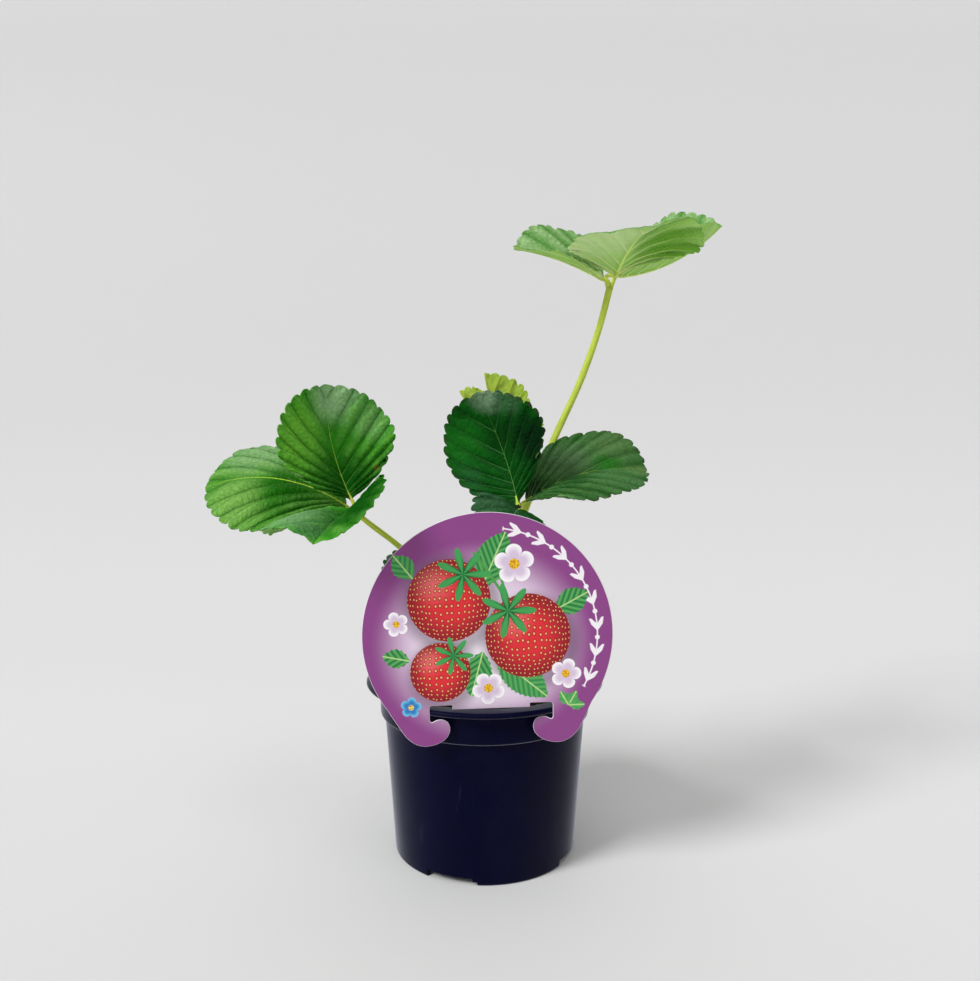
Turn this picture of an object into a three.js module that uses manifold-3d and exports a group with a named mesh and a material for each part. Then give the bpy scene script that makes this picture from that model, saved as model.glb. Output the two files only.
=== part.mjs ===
// Potted strawberry plant: a nursery pot with its soil, the plant's crown, five leaves with their
// petioles and toothed leaflets, and a die-cut plastic label clipped over the rim.
// Millimetres, +Z up, the front towards -Y, the origin on the floor under the pot's centre.

import * as THREE from "three";
import { mergeVertices } from "three/addons/utils/BufferGeometryUtils.js";
import Module from "manifold-3d";

const wasm = await Module();
wasm.setup();

// ---------------------------------------------------------------- driving dimensions

const CLEAR = 0.3; // between pieces that touch

const RIM_RADIUS = 52.5;
const RIM_TOP = 78;
const RIM_THICKNESS = 2.4;
const WALL = 1.2;
const BAND_RADIUS = 46.4; // the upright band under the rim
const LEDGE_HEIGHT = 63; // where the band steps in to the tapered wall
const TAPER_TOP_RADIUS = 44.5;
const FOOT_RADIUS = 40.3;
const FOOT_WIDTH = 2.1;
const FOOT_HEIGHT = 3.2;
const FLOOR_THICKNESS = 1.5;
const PAD_RADIUS = 9; // the flat pad in the middle of the base
const POT_SEGMENTS = 56;
const NOTCH_COUNT = 4;
const NOTCH_FIRST = -22; // degrees from the front, about +Z
const NOTCH_SPAN = 30;
const NOTCH_STEP_SPAN = 3;
const NOTCH_STEP_HEIGHT = 1.6;
const DRAIN_RADIUS = 3.2;
const DRAIN_RING = 31;

const SOIL_TOP = 72;
const SOIL_EDGE_TOP = 70.5;

const CROWN_RADIUS = 6; // in the soil
const CROWN_DEPTH = 14;
const CROWN_TOP = 86;
const CROWN_HEAD_RADIUS = 7.8;
const SOCKET_RING = 4.1; // where the petioles stand
const SOCKET_FLOOR = 77;
const SHEATH_TOP = 94;
const SHEATH_WALL = [1.7, 0.9]; // round each petiole, at its foot and at its top

const HEAD_RADIUS = 49.8; // the label
const HEAD_CENTRE_Z = 108;
const HEAD_SHIFT = -0.8; // the head's middle, from the middle of its feet
const TONGUE_HALF_WIDTH = 15.5; // the tongue between the slots, which rests on the rim
const TONGUE_END = -29.4; // below the head's middle
const SLOT_TOP = -27.6;
const SLOT_REACH = 24.7; // how far out the slots for the rim go
const LABEL_THICKNESS = 0.6;
const LABEL_OFFSET = 46.8; // from the pot's axis to the sheet's middle
const LABEL_YAW = 3;
const LABEL_ROLL = 1;

const BLADE = 0.7; // thickness of every leaf blade
const TOOTH_DEPTH = 1.9;
const TOOTH_OUT = 0.2; // share of that depth outside the plain outline, the rest being cut inside it
const TOOTH_START = 0.17; // how far along the margin the teeth begin
const PLAIN_ROWS = 2; // rows of the untoothed wedge before them
const PLEAT = 0.35; // depth of the folds along the side veins
const WAVE = 0.9; // height of the margin's slow waves
const WAVE_COUNT = 2.4;
const RIB_STEPS = 32; // along each midrib

// A leaflet grows from base along its midrib. heading and rise aim the midrib, roll tilts the blade
// about it, arch bends it down (or up, if negative), sway bends it sideways and twist turns the blade
// along its length. fold lifts each half and curl bends it further, as [left, right] in degrees.
const LEAVES = [
  {
    name: "left_leaf",
    color: 0x4f9a34,
    stemColor: 0x8a9a1c,
    socket: 170,
    radii: [1.5, 1.15],
    path: [[-8, 0, 97], [-20, -4, 120], [-36.8, -9, 137.7], [-49.7, -13, 148.8], [-55.4, -14.6, 154]],
    leaflets: [
      { name: "upper", base: [-56.5, -14, 159], heading: 143, rise: 55, roll: -12, length: 51, width: 59,
        arch: -38, sway: 4, twist: 10, fold: [14, 18], curl: [-18, -1], fullness: 0.85, teeth: 11 },
      { name: "outer", base: [-59, -11.5, 155.5], heading: 195, rise: 38, roll: -32, length: 63, width: 57,
        arch: 64, sway: -9, twist: -2, fold: [-5, 4], curl: [-26, -12], fullness: 0.82, teeth: 11 },
      { name: "lower", base: [-54.7, -25.7, 156.1], heading: -104, rise: -4, roll: 9, length: 42.4, width: 60,
        arch: 13, sway: -4, twist: -28, fold: [34, 26], curl: [20, -86], fullness: 0.8, teeth: 10 },
    ],
  },
  {
    name: "centre_leaf",
    color: 0x1f5a2b,
    stemColor: 0x6f9a2a,
    socket: 285,
    radii: [1.6, 1.3],
    path: [[2, -6, 97], [5, -12, 120], [10, -17, 142], [14.8, -18.6, 153]],
    leaflets: [
      { name: "upper", base: [14, -20, 158], heading: 108, rise: 57, roll: -53, length: 51, width: 56,
        arch: -45, sway: 6, twist: 1, fold: [8, 25], curl: [-17, -13], fullness: 0.85, teeth: 11 },
      { name: "outer", base: [17.5, -19, 158.5], heading: 6, rise: 37, roll: 9, length: 54, width: 55,
        arch: 44, sway: 13, twist: 11, fold: [14, 12], curl: [9, -26], fullness: 0.82, teeth: 11 },
      { name: "lower", base: [14.5, -22, 155.5], heading: -95, rise: 12, roll: -30, length: 26, width: 34,
        arch: 75, sway: 0, twist: 10, fold: [8, 14], curl: [-15, -20], fullness: 0.82, teeth: 8 },
    ],
  },
  {
    name: "tall_leaf",
    color: 0x86b24c,
    stemColor: 0xb5c83a,
    socket: 355,
    radii: [1.75, 1.45],
    path: [[6, 2, 100], [11.5, 6, 130], [20, 8.5, 156], [31, 9, 183],
      [42.5, 8, 209], [50.3, 6.5, 232], [54.4, 4.6, 249]],
    leaflets: [
      { name: "front", base: [56.5, 3, 254], heading: -82, rise: 30, roll: 7, length: 56, width: 56,
        arch: 34, sway: 3, twist: 12, fold: [17, 15], curl: [-80, -14], fullness: 0.77, teeth: 11 },
      { name: "right", base: [58.5, 13, 255], heading: -2, rise: 2, roll: 20, length: 50, width: 49,
        arch: -48, sway: 1, twist: 1, fold: [38, 39], curl: [-4, 5], fullness: 0.85, teeth: 10 },
      { name: "left", base: [51.5, 4, 252.5], heading: 182, rise: 28, roll: -21, length: 41, width: 42,
        arch: 21, sway: 1, twist: -9, fold: [29, 29], curl: [-11, -11], fullness: 0.85, teeth: 10 },
    ],
  },
  {
    name: "young_leaf",
    color: 0x9cc04a,
    stemColor: 0xa4bd45,
    socket: 75,
    radii: [1.15, 0.9],
    path: [[2, 8, 97], [3.5, 14, 125], [7.5, 18, 155], [9.5, 19, 172]],
    leaflets: [
      { name: "middle", base: [12, 20, 175.5], heading: 177, rise: 62, roll: 47, length: 39.5, width: 36.5,
        arch: -25, sway: -2, twist: 3, fold: [60, 58], curl: [-8, -8], fullness: 0.85, teeth: 9 },
      { name: "left", base: [8, 12, 174.5], heading: 163, rise: 52, roll: 18, length: 36, width: 27,
        arch: -7, sway: 0, twist: 0, fold: [60, 72], curl: [-8, -8], fullness: 0.85, teeth: 8 },
      { name: "right", base: [15.5, 17.5, 172], heading: -5, rise: 53, roll: -30, length: 20.5, width: 15,
        arch: -10, sway: 0, twist: 0, fold: [55, 55], curl: [-8, -8], fullness: 0.85, teeth: 6 },
    ],
  },
  {
    name: "low_leaf",
    color: 0x2c6a2c,
    stemColor: 0x7f9a2e,
    socket: 225,
    radii: [1.15, 0.85],
    path: [[-6, -8, 96], [-12, -17, 106], [-18, -24, 113], [-20.5, -26, 115]],
    leaflets: [
      { name: "outer", base: [-21.5, -27, 117], heading: 182, rise: 50, roll: -50, length: 27, width: 21,
        arch: 12, sway: 0, twist: 0, fold: [14, 14], curl: [-12, -12], fullness: 0.85, teeth: 7 },
      { name: "upper", base: [-19.5, -24, 118.5], heading: 55, rise: 55, roll: 0, length: 26, width: 24,
        arch: 20, sway: 0, twist: 0, fold: [14, 14], curl: [-12, -12], fullness: 0.85, teeth: 7 },
      { name: "lower", base: [-22.5, -28, 114], heading: 215, rise: -8, roll: -20, length: 24, width: 22,
        arch: 30, sway: 0, twist: 0, fold: [14, 14], curl: [-12, -12], fullness: 0.85, teeth: 7 },
    ],
  },
];

// ---------------------------------------------------------------- helpers

const deg = THREE.MathUtils.degToRad;
const vec = (p) => new THREE.Vector3(...p);
const polar = (radius, degrees, z) =>
  new THREE.Vector3(radius * Math.cos(deg(degrees)), radius * Math.sin(deg(degrees)), z);

function solidOf(geometry) {
  const bare = geometry.clone();
  for (const name of Object.keys(bare.attributes)) {
    if (name !== "position") bare.deleteAttribute(name);
  }
  const merged = mergeVertices(bare, 1e-4);
  return new wasm.Manifold(
    new wasm.Mesh({
      numProp: 3,
      vertProperties: merged.attributes.position.array,
      triVerts: new Uint32Array(merged.index.array),
    }),
  );
}

function geometryOf(solid) {
  const { vertProperties, triVerts } = solid.getMesh();
  return new THREE.BufferGeometry()
    .setAttribute("position", new THREE.BufferAttribute(vertProperties, 3))
    .setIndex(new THREE.BufferAttribute(triVerts, 1));
}

function meshOf(name, geometry, color, roughness = 0.6) {
  geometry.computeVertexNormals();
  const material = new THREE.MeshStandardMaterial({ color, roughness, metalness: 0 });
  const mesh = new THREE.Mesh(geometry, material);
  mesh.name = name;
  return mesh;
}

function indexed(points, triangles) {
  const array = new Float32Array(points.length * 3);
  points.forEach((p, i) => p.toArray(array, 3 * i));
  return new THREE.BufferGeometry()
    .setAttribute("position", new THREE.BufferAttribute(array, 3))
    .setIndex(triangles.flat());
}

// A profile of [radius, height] pairs turned round the Z axis.
function lathe(profile, segments = POT_SEGMENTS) {
  const points = profile.map(([r, z]) => new THREE.Vector2(r, z));
  return new THREE.LatheGeometry(points, segments).rotateX(Math.PI / 2);
}

// A closed tube along a curve, whose radius goes from start to end.
function tube(points, start, end, sides, step) {
  const curve = new THREE.CatmullRomCurve3(points, false, "centripetal");
  const count = Math.max(2, Math.round(curve.getLength() / step));
  const frames = curve.computeFrenetFrames(count, false);
  const rings = [];
  const triangles = [];
  for (let i = 0; i <= count; i++) {
    const centre = curve.getPointAt(i / count);
    const radius = THREE.MathUtils.lerp(start, end, i / count);
    for (let j = 0; j < sides; j++) {
      const angle = (2 * Math.PI * j) / sides;
      rings.push(
        centre
          .clone()
          .addScaledVector(frames.normals[i], radius * Math.cos(angle))
          .addScaledVector(frames.binormals[i], radius * Math.sin(angle)),
      );
      const next = (j + 1) % sides;
      if (i < count) {
        const [a, b] = [i * sides + j, i * sides + next];
        triangles.push([a, b, b + sides], [a, b + sides, a + sides]);
      }
    }
  }
  const last = count * sides;
  for (let j = 1; j < sides - 1; j++) {
    triangles.push([0, j + 1, j], [last, last + j, last + j + 1]);
  }
  return indexed(rings, triangles);
}

// ---------------------------------------------------------------- pot and soil

function wallRadius(z) {
  return THREE.MathUtils.lerp(FOOT_RADIUS, TAPER_TOP_RADIUS, z / LEDGE_HEIGHT);
}

// A block round the pot's foot, from the angle and over the span given in degrees, up to the height.
function footSector(fromDegrees, span, height) {
  const [a, b] = [deg(fromDegrees), deg(fromDegrees + span)];
  const below = 1;
  const shape = new THREE.Shape();
  shape.absarc(0, 0, FOOT_RADIUS + 2, a, b, false);
  shape.absarc(0, 0, FOOT_RADIUS - FOOT_WIDTH - 0.7, b, a, true);
  shape.closePath();
  return new THREE.ExtrudeGeometry(shape, {
    depth: height + below,
    bevelEnabled: false,
    curveSegments: 6,
  }).translate(0, 0, -below);
}

function pot() {
  const flangeBottom = RIM_TOP - RIM_THICKNESS;
  const round = 0.8; // the rim's edges
  const floorTop = FOOT_HEIGHT + FLOOR_THICKNESS;
  let solid = solidOf(
    lathe([
      [0, 0],
      [PAD_RADIUS, 0],
      [PAD_RADIUS + 1.5, FOOT_HEIGHT],
      [FOOT_RADIUS - FOOT_WIDTH - 0.6, FOOT_HEIGHT],
      [FOOT_RADIUS - FOOT_WIDTH, 0],
      [FOOT_RADIUS - 0.5, 0],
      [FOOT_RADIUS, 0.6],
      [wallRadius(LEDGE_HEIGHT - 1), LEDGE_HEIGHT - 1],
      [BAND_RADIUS - 0.2, LEDGE_HEIGHT],
      [BAND_RADIUS, LEDGE_HEIGHT + 1],
      [BAND_RADIUS, flangeBottom - 0.6],
      [BAND_RADIUS + 0.6, flangeBottom],
      [RIM_RADIUS - round, flangeBottom],
      [RIM_RADIUS, flangeBottom + round],
      [RIM_RADIUS, RIM_TOP - round],
      [RIM_RADIUS - round, RIM_TOP],
      [BAND_RADIUS - WALL + round, RIM_TOP],
      [BAND_RADIUS - WALL, RIM_TOP - round],
      [BAND_RADIUS - WALL - 0.2, LEDGE_HEIGHT + 0.8],
      [wallRadius(LEDGE_HEIGHT - 1) - WALL, LEDGE_HEIGHT - 1.4],
      [wallRadius(floorTop) - WALL, floorTop + 0.6],
      [wallRadius(floorTop) - WALL - 0.6, floorTop],
      [PAD_RADIUS + 0.2, floorTop],
      [PAD_RADIUS - 1.2, FLOOR_THICKNESS],
      [0, FLOOR_THICKNESS],
    ]),
  );
  for (let i = 0; i < NOTCH_COUNT; i++) {
    const centre = NOTCH_FIRST - 90 + (i * 360) / NOTCH_COUNT;
    const notch = footSector(centre - NOTCH_SPAN / 2, NOTCH_SPAN, FOOT_HEIGHT);
    const step = footSector(centre + NOTCH_SPAN / 2 - 1, NOTCH_STEP_SPAN, NOTCH_STEP_HEIGHT);
    const drain = new THREE.CylinderGeometry(DRAIN_RADIUS, DRAIN_RADIUS, 8, 16)
      .rotateX(Math.PI / 2)
      .translate(...polar(DRAIN_RING, centre, FOOT_HEIGHT));
    for (const cut of [notch, step, drain]) solid = solid.subtract(solidOf(cut));
  }
  return meshOf("pot", geometryOf(solid), 0x10122b, 0.35);
}

function growingMedium() {
  const bottom = FOOT_HEIGHT + FLOOR_THICKNESS + CLEAR;
  const inside = WALL + CLEAR;
  const hole = CROWN_RADIUS + CLEAR;
  const profile = [
    [0, bottom],
    [wallRadius(bottom) - inside - 0.8, bottom],
    [wallRadius(bottom + 1) - inside, bottom + 1],
    [wallRadius(LEDGE_HEIGHT - 2) - inside, LEDGE_HEIGHT - 2],
    [BAND_RADIUS - inside - 0.4, LEDGE_HEIGHT + 1],
    [BAND_RADIUS - inside - 0.2, SOIL_EDGE_TOP],
    [30, SOIL_TOP - 0.8],
    [16, SOIL_TOP],
    [hole, SOIL_TOP + 0.4],
    [hole, SOIL_TOP - CROWN_DEPTH - CLEAR],
    [0, SOIL_TOP - CROWN_DEPTH - CLEAR],
  ];
  return meshOf("growing_medium", lathe(profile), 0x2b2019, 0.95);
}

// ---------------------------------------------------------------- crown and petioles

// The petiole's middle line, from its socket in the crown to the fork.
function petiolePoints(leaf) {
  return [
    polar(SOCKET_RING, leaf.socket, SOCKET_FLOOR + CLEAR),
    polar(SOCKET_RING, leaf.socket, CROWN_TOP),
    ...leaf.path.map(vec),
  ];
}

function crown() {
  const widest = SOIL_TOP + 6;
  let solid = solidOf(
    lathe(
      [
        [0, SOIL_TOP - CROWN_DEPTH],
        [CROWN_RADIUS - 1.5, SOIL_TOP - CROWN_DEPTH],
        [CROWN_RADIUS, SOIL_TOP - CROWN_DEPTH + 3],
        [CROWN_RADIUS, SOIL_TOP + 1],
        [CROWN_HEAD_RADIUS, widest],
        [CROWN_HEAD_RADIUS - 0.6, CROWN_TOP - 4],
        [4, CROWN_TOP],
        [0, CROWN_TOP],
      ],
      20,
    ),
  );
  for (const leaf of LEAVES) {
    const curve = new THREE.CatmullRomCurve3(petiolePoints(leaf), false, "centripetal");
    const inSheath = curve.getSpacedPoints(60).filter((p) => p.z > CROWN_TOP - 6 && p.z < SHEATH_TOP);
    const [thick, thin] = SHEATH_WALL;
    solid = solid.add(solidOf(tube(inSheath, leaf.radii[0] + thick, leaf.radii[0] + thin, 8, 4)));
  }
  for (const leaf of LEAVES) {
    const lower = petiolePoints(leaf).slice(0, 4);
    lower[0].z -= CLEAR;
    const radius = leaf.radii[0] + CLEAR + 0.05;
    solid = solid.subtract(solidOf(tube(lower, radius, radius, 10, 6)));
  }
  return meshOf("crown", geometryOf(solid), 0x8a7a45, 0.8);
}

function petiole(leaf) {
  const points = petiolePoints(leaf);
  const fork = points.at(-1);
  let solid = solidOf(tube(points, leaf.radii[0], leaf.radii[1], 8, 9));
  for (const leaflet of leaf.leaflets) {
    const rib = midribOf(leaflet);
    const along = rib[0].forward;
    const end = vec(leaflet.base).addScaledVector(along, -CLEAR);
    const bend = end.clone().addScaledVector(along, -0.4 * end.distanceTo(fork));
    const start = fork.clone().addScaledVector(points.at(-2).clone().sub(fork).normalize(), 0.8);
    solid = solid.add(solidOf(tube([start, bend, end], 0.8 * leaf.radii[1], 0.6 * leaf.radii[1], 6, 2.5)));
  }
  return meshOf(leaf.name + "_petiole", geometryOf(solid), leaf.stemColor, 0.5);
}

// ---------------------------------------------------------------- leaflets

// Points and axes along a leaflet's midrib, which bends evenly along its length.
function midribOf(leaflet) {
  const [heading, rise] = [deg(leaflet.heading), deg(leaflet.rise)];
  const forward = new THREE.Vector3(
    Math.cos(rise) * Math.cos(heading),
    Math.cos(rise) * Math.sin(heading),
    Math.sin(rise),
  );
  const up = new THREE.Vector3(0, 0, 1).addScaledVector(forward, -forward.z).normalize();
  up.applyAxisAngle(forward, deg(leaflet.roll));
  const at = vec(leaflet.base);
  const rib = [];
  const step = leaflet.length / RIB_STEPS;
  for (let i = 0; i <= RIB_STEPS; i++) {
    const side = new THREE.Vector3().crossVectors(forward, up);
    rib.push({ at: at.clone(), forward: forward.clone(), up: up.clone(), side: side.clone() });
    const before = forward.clone();
    forward.applyAxisAngle(side, deg(-leaflet.arch / RIB_STEPS));
    up.applyAxisAngle(side, deg(-leaflet.arch / RIB_STEPS));
    forward.applyAxisAngle(up, deg(-leaflet.sway / RIB_STEPS)).normalize();
    at.addScaledVector(before.add(forward).normalize(), step);
    up.addScaledVector(forward, -up.dot(forward)).normalize();
    up.applyAxisAngle(forward, deg(leaflet.twist / RIB_STEPS));
  }
  return rib;
}

// The blade's outline without its teeth, as [out from the midrib, along it], for t from base to tip.
function outlineOf(leaflet, t) {
  const turn = Math.PI * t;
  const out = 0.5 * leaflet.width * Math.max(0, Math.sin(turn)) ** (1.25 - 0.4 * t);
  const along = leaflet.length * ((1 - Math.cos(turn)) / 2) ** leaflet.fullness;
  return [out, along];
}

// A point of the blade: t runs along the margin and s out along a side vein to it.
function bladePoint(leaflet, rib, sign, t, s, tooth, lift) {
  const [out, along] = outlineOf(leaflet, t);
  const small = 1e-3;
  const [outA, alongA] = outlineOf(leaflet, Math.max(0, t - small));
  const [outB, alongB] = outlineOf(leaflet, Math.min(1, t + small));
  const length = Math.hypot(outB - outA, alongB - alongA);
  const normal = t === 1 ? [0, 1] : [(alongB - alongA) / length, (outA - outB) / length];
  const start = leaflet.length * (0.12 * t + 0.88 * t ** 3.2);
  const x = s * (out + tooth * normal[0]);
  const y = start + s * (along + tooth * normal[1] - start);
  const place = THREE.MathUtils.clamp((y / leaflet.length) * RIB_STEPS, 0, RIB_STEPS - 1e-6);
  const i = Math.floor(place);
  const w = place - i;
  const mix = (key) => rib[i][key].clone().lerp(rib[i + 1][key], w);
  const half = sign > 0 ? 1 : 0;
  const fold = deg(leaflet.fold[half]);
  const bend = deg(Math.abs(leaflet.curl[half]) > 0.5 ? leaflet.curl[half] : 0.5) / (leaflet.width / 2);
  const across = (Math.sin(fold + bend * x) - Math.sin(fold)) / bend;
  const above = -(Math.cos(fold + bend * x) - Math.cos(fold)) / bend;
  return mix("at")
    .addScaledVector(mix("forward"), Math.max(0, y - leaflet.length))
    .addScaledVector(mix("side"), sign * across)
    .addScaledVector(mix("up"), above + lift);
}

// The blade has a row of points for each side vein, which ends in a tooth, and for each notch between.
function bladeGeometry(leaflet, columns, seed) {
  const rib = midribOf(leaflet);
  const toothed = 2 * leaflet.teeth + 1;
  const rows = PLAIN_ROWS + toothed;
  const grid = [];
  for (const sign of [-1, 1]) {
    for (let r = 0; r <= rows; r++) {
      const k = r - PLAIN_ROWS;
      const t = k < 0 ? (TOOTH_START * r) / PLAIN_ROWS : TOOTH_START + ((1 - TOOTH_START) * k) / toothed;
      const onTooth = k > 0 && k % 2 === 1;
      const size = k <= 0 ? 0 : TOOTH_DEPTH * (0.6 + 0.4 * Math.sin(Math.PI * t));
      const depth = size * (onTooth ? TOOTH_OUT : TOOTH_OUT - 1);
      const vein = k < 0 ? 0 : onTooth ? -PLEAT : PLEAT;
      for (let c = 0; c <= columns; c++) {
        const s = c / columns;
        const pleat = vein * Math.sin(Math.PI * Math.min(1, s * 0.85));
        const phase = 2 * Math.PI * WAVE_COUNT * t + seed + sign;
        const wave = WAVE * s * s * Math.sin(Math.PI * t) * Math.sin(phase);
        grid.push(bladePoint(leaflet, rib, sign, t, s, depth, pleat + wave));
      }
    }
  }
  // Both halves share the midrib's points, and the base and the tip are one point each.
  const used = new Map();
  const points = [];
  const idOf = (sign, r, c) => {
    const column = r === 0 || r === rows ? 0 : c;
    const atEnd = r === rows ? columns : column;
    const half = column === 0 ? 0 : sign;
    const key = half + "/" + r + "/" + column;
    if (!used.has(key)) {
      used.set(key, points.length);
      points.push(grid[sign * (rows + 1) * (columns + 1) + r * (columns + 1) + atEnd]);
    }
    return used.get(key);
  };
  const faces = [];
  for (const sign of [0, 1]) {
    for (let r = 0; r < rows; r++) {
      for (let c = 0; c < columns; c++) {
        const [a, b] = [idOf(sign, r, c), idOf(sign, r, c + 1)];
        const [d, e] = [idOf(sign, r + 1, c), idOf(sign, r + 1, c + 1)];
        for (const face of [[a, b, e], [a, e, d]]) {
          if (new Set(face).size === 3) faces.push(sign ? face : [face[0], face[2], face[1]]);
        }
      }
    }
  }
  return thicken(points, faces);
}

// A thin closed solid round a sheet of triangles, both faces being split alike.
function thicken(points, faces) {
  const normals = points.map(() => new THREE.Vector3());
  for (const [a, b, c] of faces) {
    const n = points[b].clone().sub(points[a]).cross(points[c].clone().sub(points[a]));
    for (const i of [a, b, c]) normals[i].add(n);
  }
  normals.forEach((n) => n.normalize());
  const upper = points.map((p, i) => p.clone().addScaledVector(normals[i], BLADE / 2));
  const lower = points.map((p, i) => p.clone().addScaledVector(normals[i], -BLADE / 2));
  const count = points.length;
  const triangles = [];
  const edges = new Map();
  for (const [a, b, c] of faces) {
    triangles.push([a, b, c], [a + count, c + count, b + count]);
    for (const [i, j] of [[a, b], [b, c], [c, a]]) {
      if (edges.has(j + "/" + i)) edges.delete(j + "/" + i);
      else edges.set(i + "/" + j, [i, j]);
    }
  }
  for (const [i, j] of edges.values()) {
    triangles.push([i, i + count, j + count], [i, j + count, j]);
  }
  return indexed([...upper, ...lower], triangles);
}

// ---------------------------------------------------------------- label

// The right half of the label's outline, from the middle of the tongue's end round to the head's top.
function labelHalf(headShift) {
  const edge = new THREE.Path();
  const neck = deg(-34); // where the head's arc runs into the foot
  edge.moveTo(0, TONGUE_END);
  edge.lineTo(TONGUE_HALF_WIDTH, TONGUE_END);
  edge.lineTo(TONGUE_HALF_WIDTH, SLOT_TOP);
  edge.lineTo(SLOT_REACH - 1.2, SLOT_TOP);
  edge.quadraticCurveTo(SLOT_REACH, SLOT_TOP, SLOT_REACH, SLOT_TOP - 1.2);
  edge.lineTo(SLOT_REACH, -33.6);
  edge.quadraticCurveTo(24.4, -34.8, 23.2, -34.2);
  edge.quadraticCurveTo(20.4, -32.4, 17.8, -34.3);
  edge.bezierCurveTo(14.9, -37.2, 17.2, -44, 26.6, -44.3);
  edge.quadraticCurveTo(31.6, -44.2, 35.4, -38.6);
  edge.lineTo(headShift + HEAD_RADIUS * Math.cos(neck), HEAD_RADIUS * Math.sin(neck));
  edge.absarc(headShift, 0, HEAD_RADIUS, neck, Math.PI / 2, false);
  return edge.getPoints(14);
}

function label() {
  const right = labelHalf(HEAD_SHIFT);
  const left = labelHalf(-HEAD_SHIFT).map((p) => new THREE.Vector2(-p.x, p.y));
  const shape = new THREE.Shape([...right, ...left.reverse().slice(1, -1)]);
  const geometry = new THREE.ExtrudeGeometry(shape, {
    depth: LABEL_THICKNESS,
    bevelEnabled: false,
  })
    .translate(0, 0, -LABEL_THICKNESS / 2)
    .rotateZ(deg(LABEL_ROLL))
    .rotateX(Math.PI / 2)
    .translate(0, -LABEL_OFFSET, HEAD_CENTRE_Z)
    .rotateZ(deg(LABEL_YAW));
  return meshOf("label", geometry, 0x914d8b, 0.4);
}

// ---------------------------------------------------------------- assembly

const plant = new THREE.Group();
plant.add(pot(), growingMedium(), crown(), label());
LEAVES.forEach((leaf, i) => {
  plant.add(petiole(leaf));
  leaf.leaflets.forEach((leaflet, j) => {
    const columns = leaflet.length > 38 ? 3 : 2;
    const geometry = bladeGeometry(leaflet, columns, 1.7 * i + 2.3 * j);
    plant.add(meshOf(leaf.name + "_" + leaflet.name + "_leaflet", geometry, leaf.color));
  });
});

export default plant;
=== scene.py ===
# Potted strawberry plant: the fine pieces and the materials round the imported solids.
# The leaf values, the pot's profile and the label's outline repeat the part's source, in millimetres.
import math

import bmesh
import bpy
import numpy as np
from mathutils import Matrix, Vector


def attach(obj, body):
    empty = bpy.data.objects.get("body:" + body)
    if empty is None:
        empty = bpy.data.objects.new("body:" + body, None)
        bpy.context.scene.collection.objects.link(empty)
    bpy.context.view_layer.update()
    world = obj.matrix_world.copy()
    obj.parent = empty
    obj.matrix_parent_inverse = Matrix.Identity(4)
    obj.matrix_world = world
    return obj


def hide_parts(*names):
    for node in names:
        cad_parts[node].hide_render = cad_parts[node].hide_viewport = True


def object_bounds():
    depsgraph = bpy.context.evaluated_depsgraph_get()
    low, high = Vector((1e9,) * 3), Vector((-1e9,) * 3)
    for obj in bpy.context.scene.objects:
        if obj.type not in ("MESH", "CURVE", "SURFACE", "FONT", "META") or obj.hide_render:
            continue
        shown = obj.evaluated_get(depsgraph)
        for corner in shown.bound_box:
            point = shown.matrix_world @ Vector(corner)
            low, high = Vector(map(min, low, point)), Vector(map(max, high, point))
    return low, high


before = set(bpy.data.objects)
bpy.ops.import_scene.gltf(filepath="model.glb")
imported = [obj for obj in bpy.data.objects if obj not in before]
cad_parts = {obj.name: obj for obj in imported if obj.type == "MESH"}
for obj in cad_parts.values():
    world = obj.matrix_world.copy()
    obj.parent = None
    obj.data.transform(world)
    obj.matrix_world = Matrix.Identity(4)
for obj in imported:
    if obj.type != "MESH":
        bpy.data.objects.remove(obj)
CAD_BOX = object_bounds()
BOX_MM = [np.array(corner) * 1000 for corner in CAD_BOX]
scene = bpy.context.scene
MM = 0.001

# ------------------------------------------------------------------ shared values, as in the part's source

CROWN_TOP, SOCKET_RING, SOCKET_FLOOR, SHEATH_TOP, CLEAR = 86, 4.1, 77, 94, 0.3
RIM_RADIUS, RIM_TOP, WALL = 52.5, 78, 1.2
BAND_RADIUS, LEDGE_HEIGHT, TAPER_TOP_RADIUS, FOOT_RADIUS = 46.4, 63, 44.5, 40.3
FOOT_HEIGHT, PAD_RADIUS = 3.2, 9
NOTCH_FIRST, NOTCH_SPAN, NOTCH_STEP_SPAN, NOTCH_STEP_HEIGHT = -22, 30, 3, 1.6
DRAIN_RADIUS, DRAIN_RING = 3.2, 31
TOOTH_DEPTH, TOOTH_OUT, TOOTH_START = 1.9, 0.2, 0.17
WAVE, WAVE_COUNT, RIB_STEPS = 0.9, 2.4, 32


def leaflet(name, base, heading, rise, roll, length, width, arch, sway, twist, fold, curl, teeth,
            fullness=0.85, veins=(0.12, 3.2), teeth_a_vein=1.5):
    """One blade; veins says how steeply the side veins leave the midrib."""
    return dict(name=name, base=base, heading=heading, rise=rise, roll=roll, length=length, width=width,
                arch=arch, sway=sway, twist=twist, fold=fold, curl=curl, fullness=fullness, teeth=teeth,
                veins=veins, teeth_a_vein=teeth_a_vein)


def leaf(name, socket, radii, teeth_a_vein, path, *leaflets):
    """One leaf: its socket's angle in the crown, its stalk's radii and path, and the values of its blades."""
    blades = [leaflet(*values, teeth_a_vein=teeth_a_vein) for values in leaflets]
    return dict(name=name, socket=socket, radii=radii, path=path, leaflets=blades)


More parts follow.
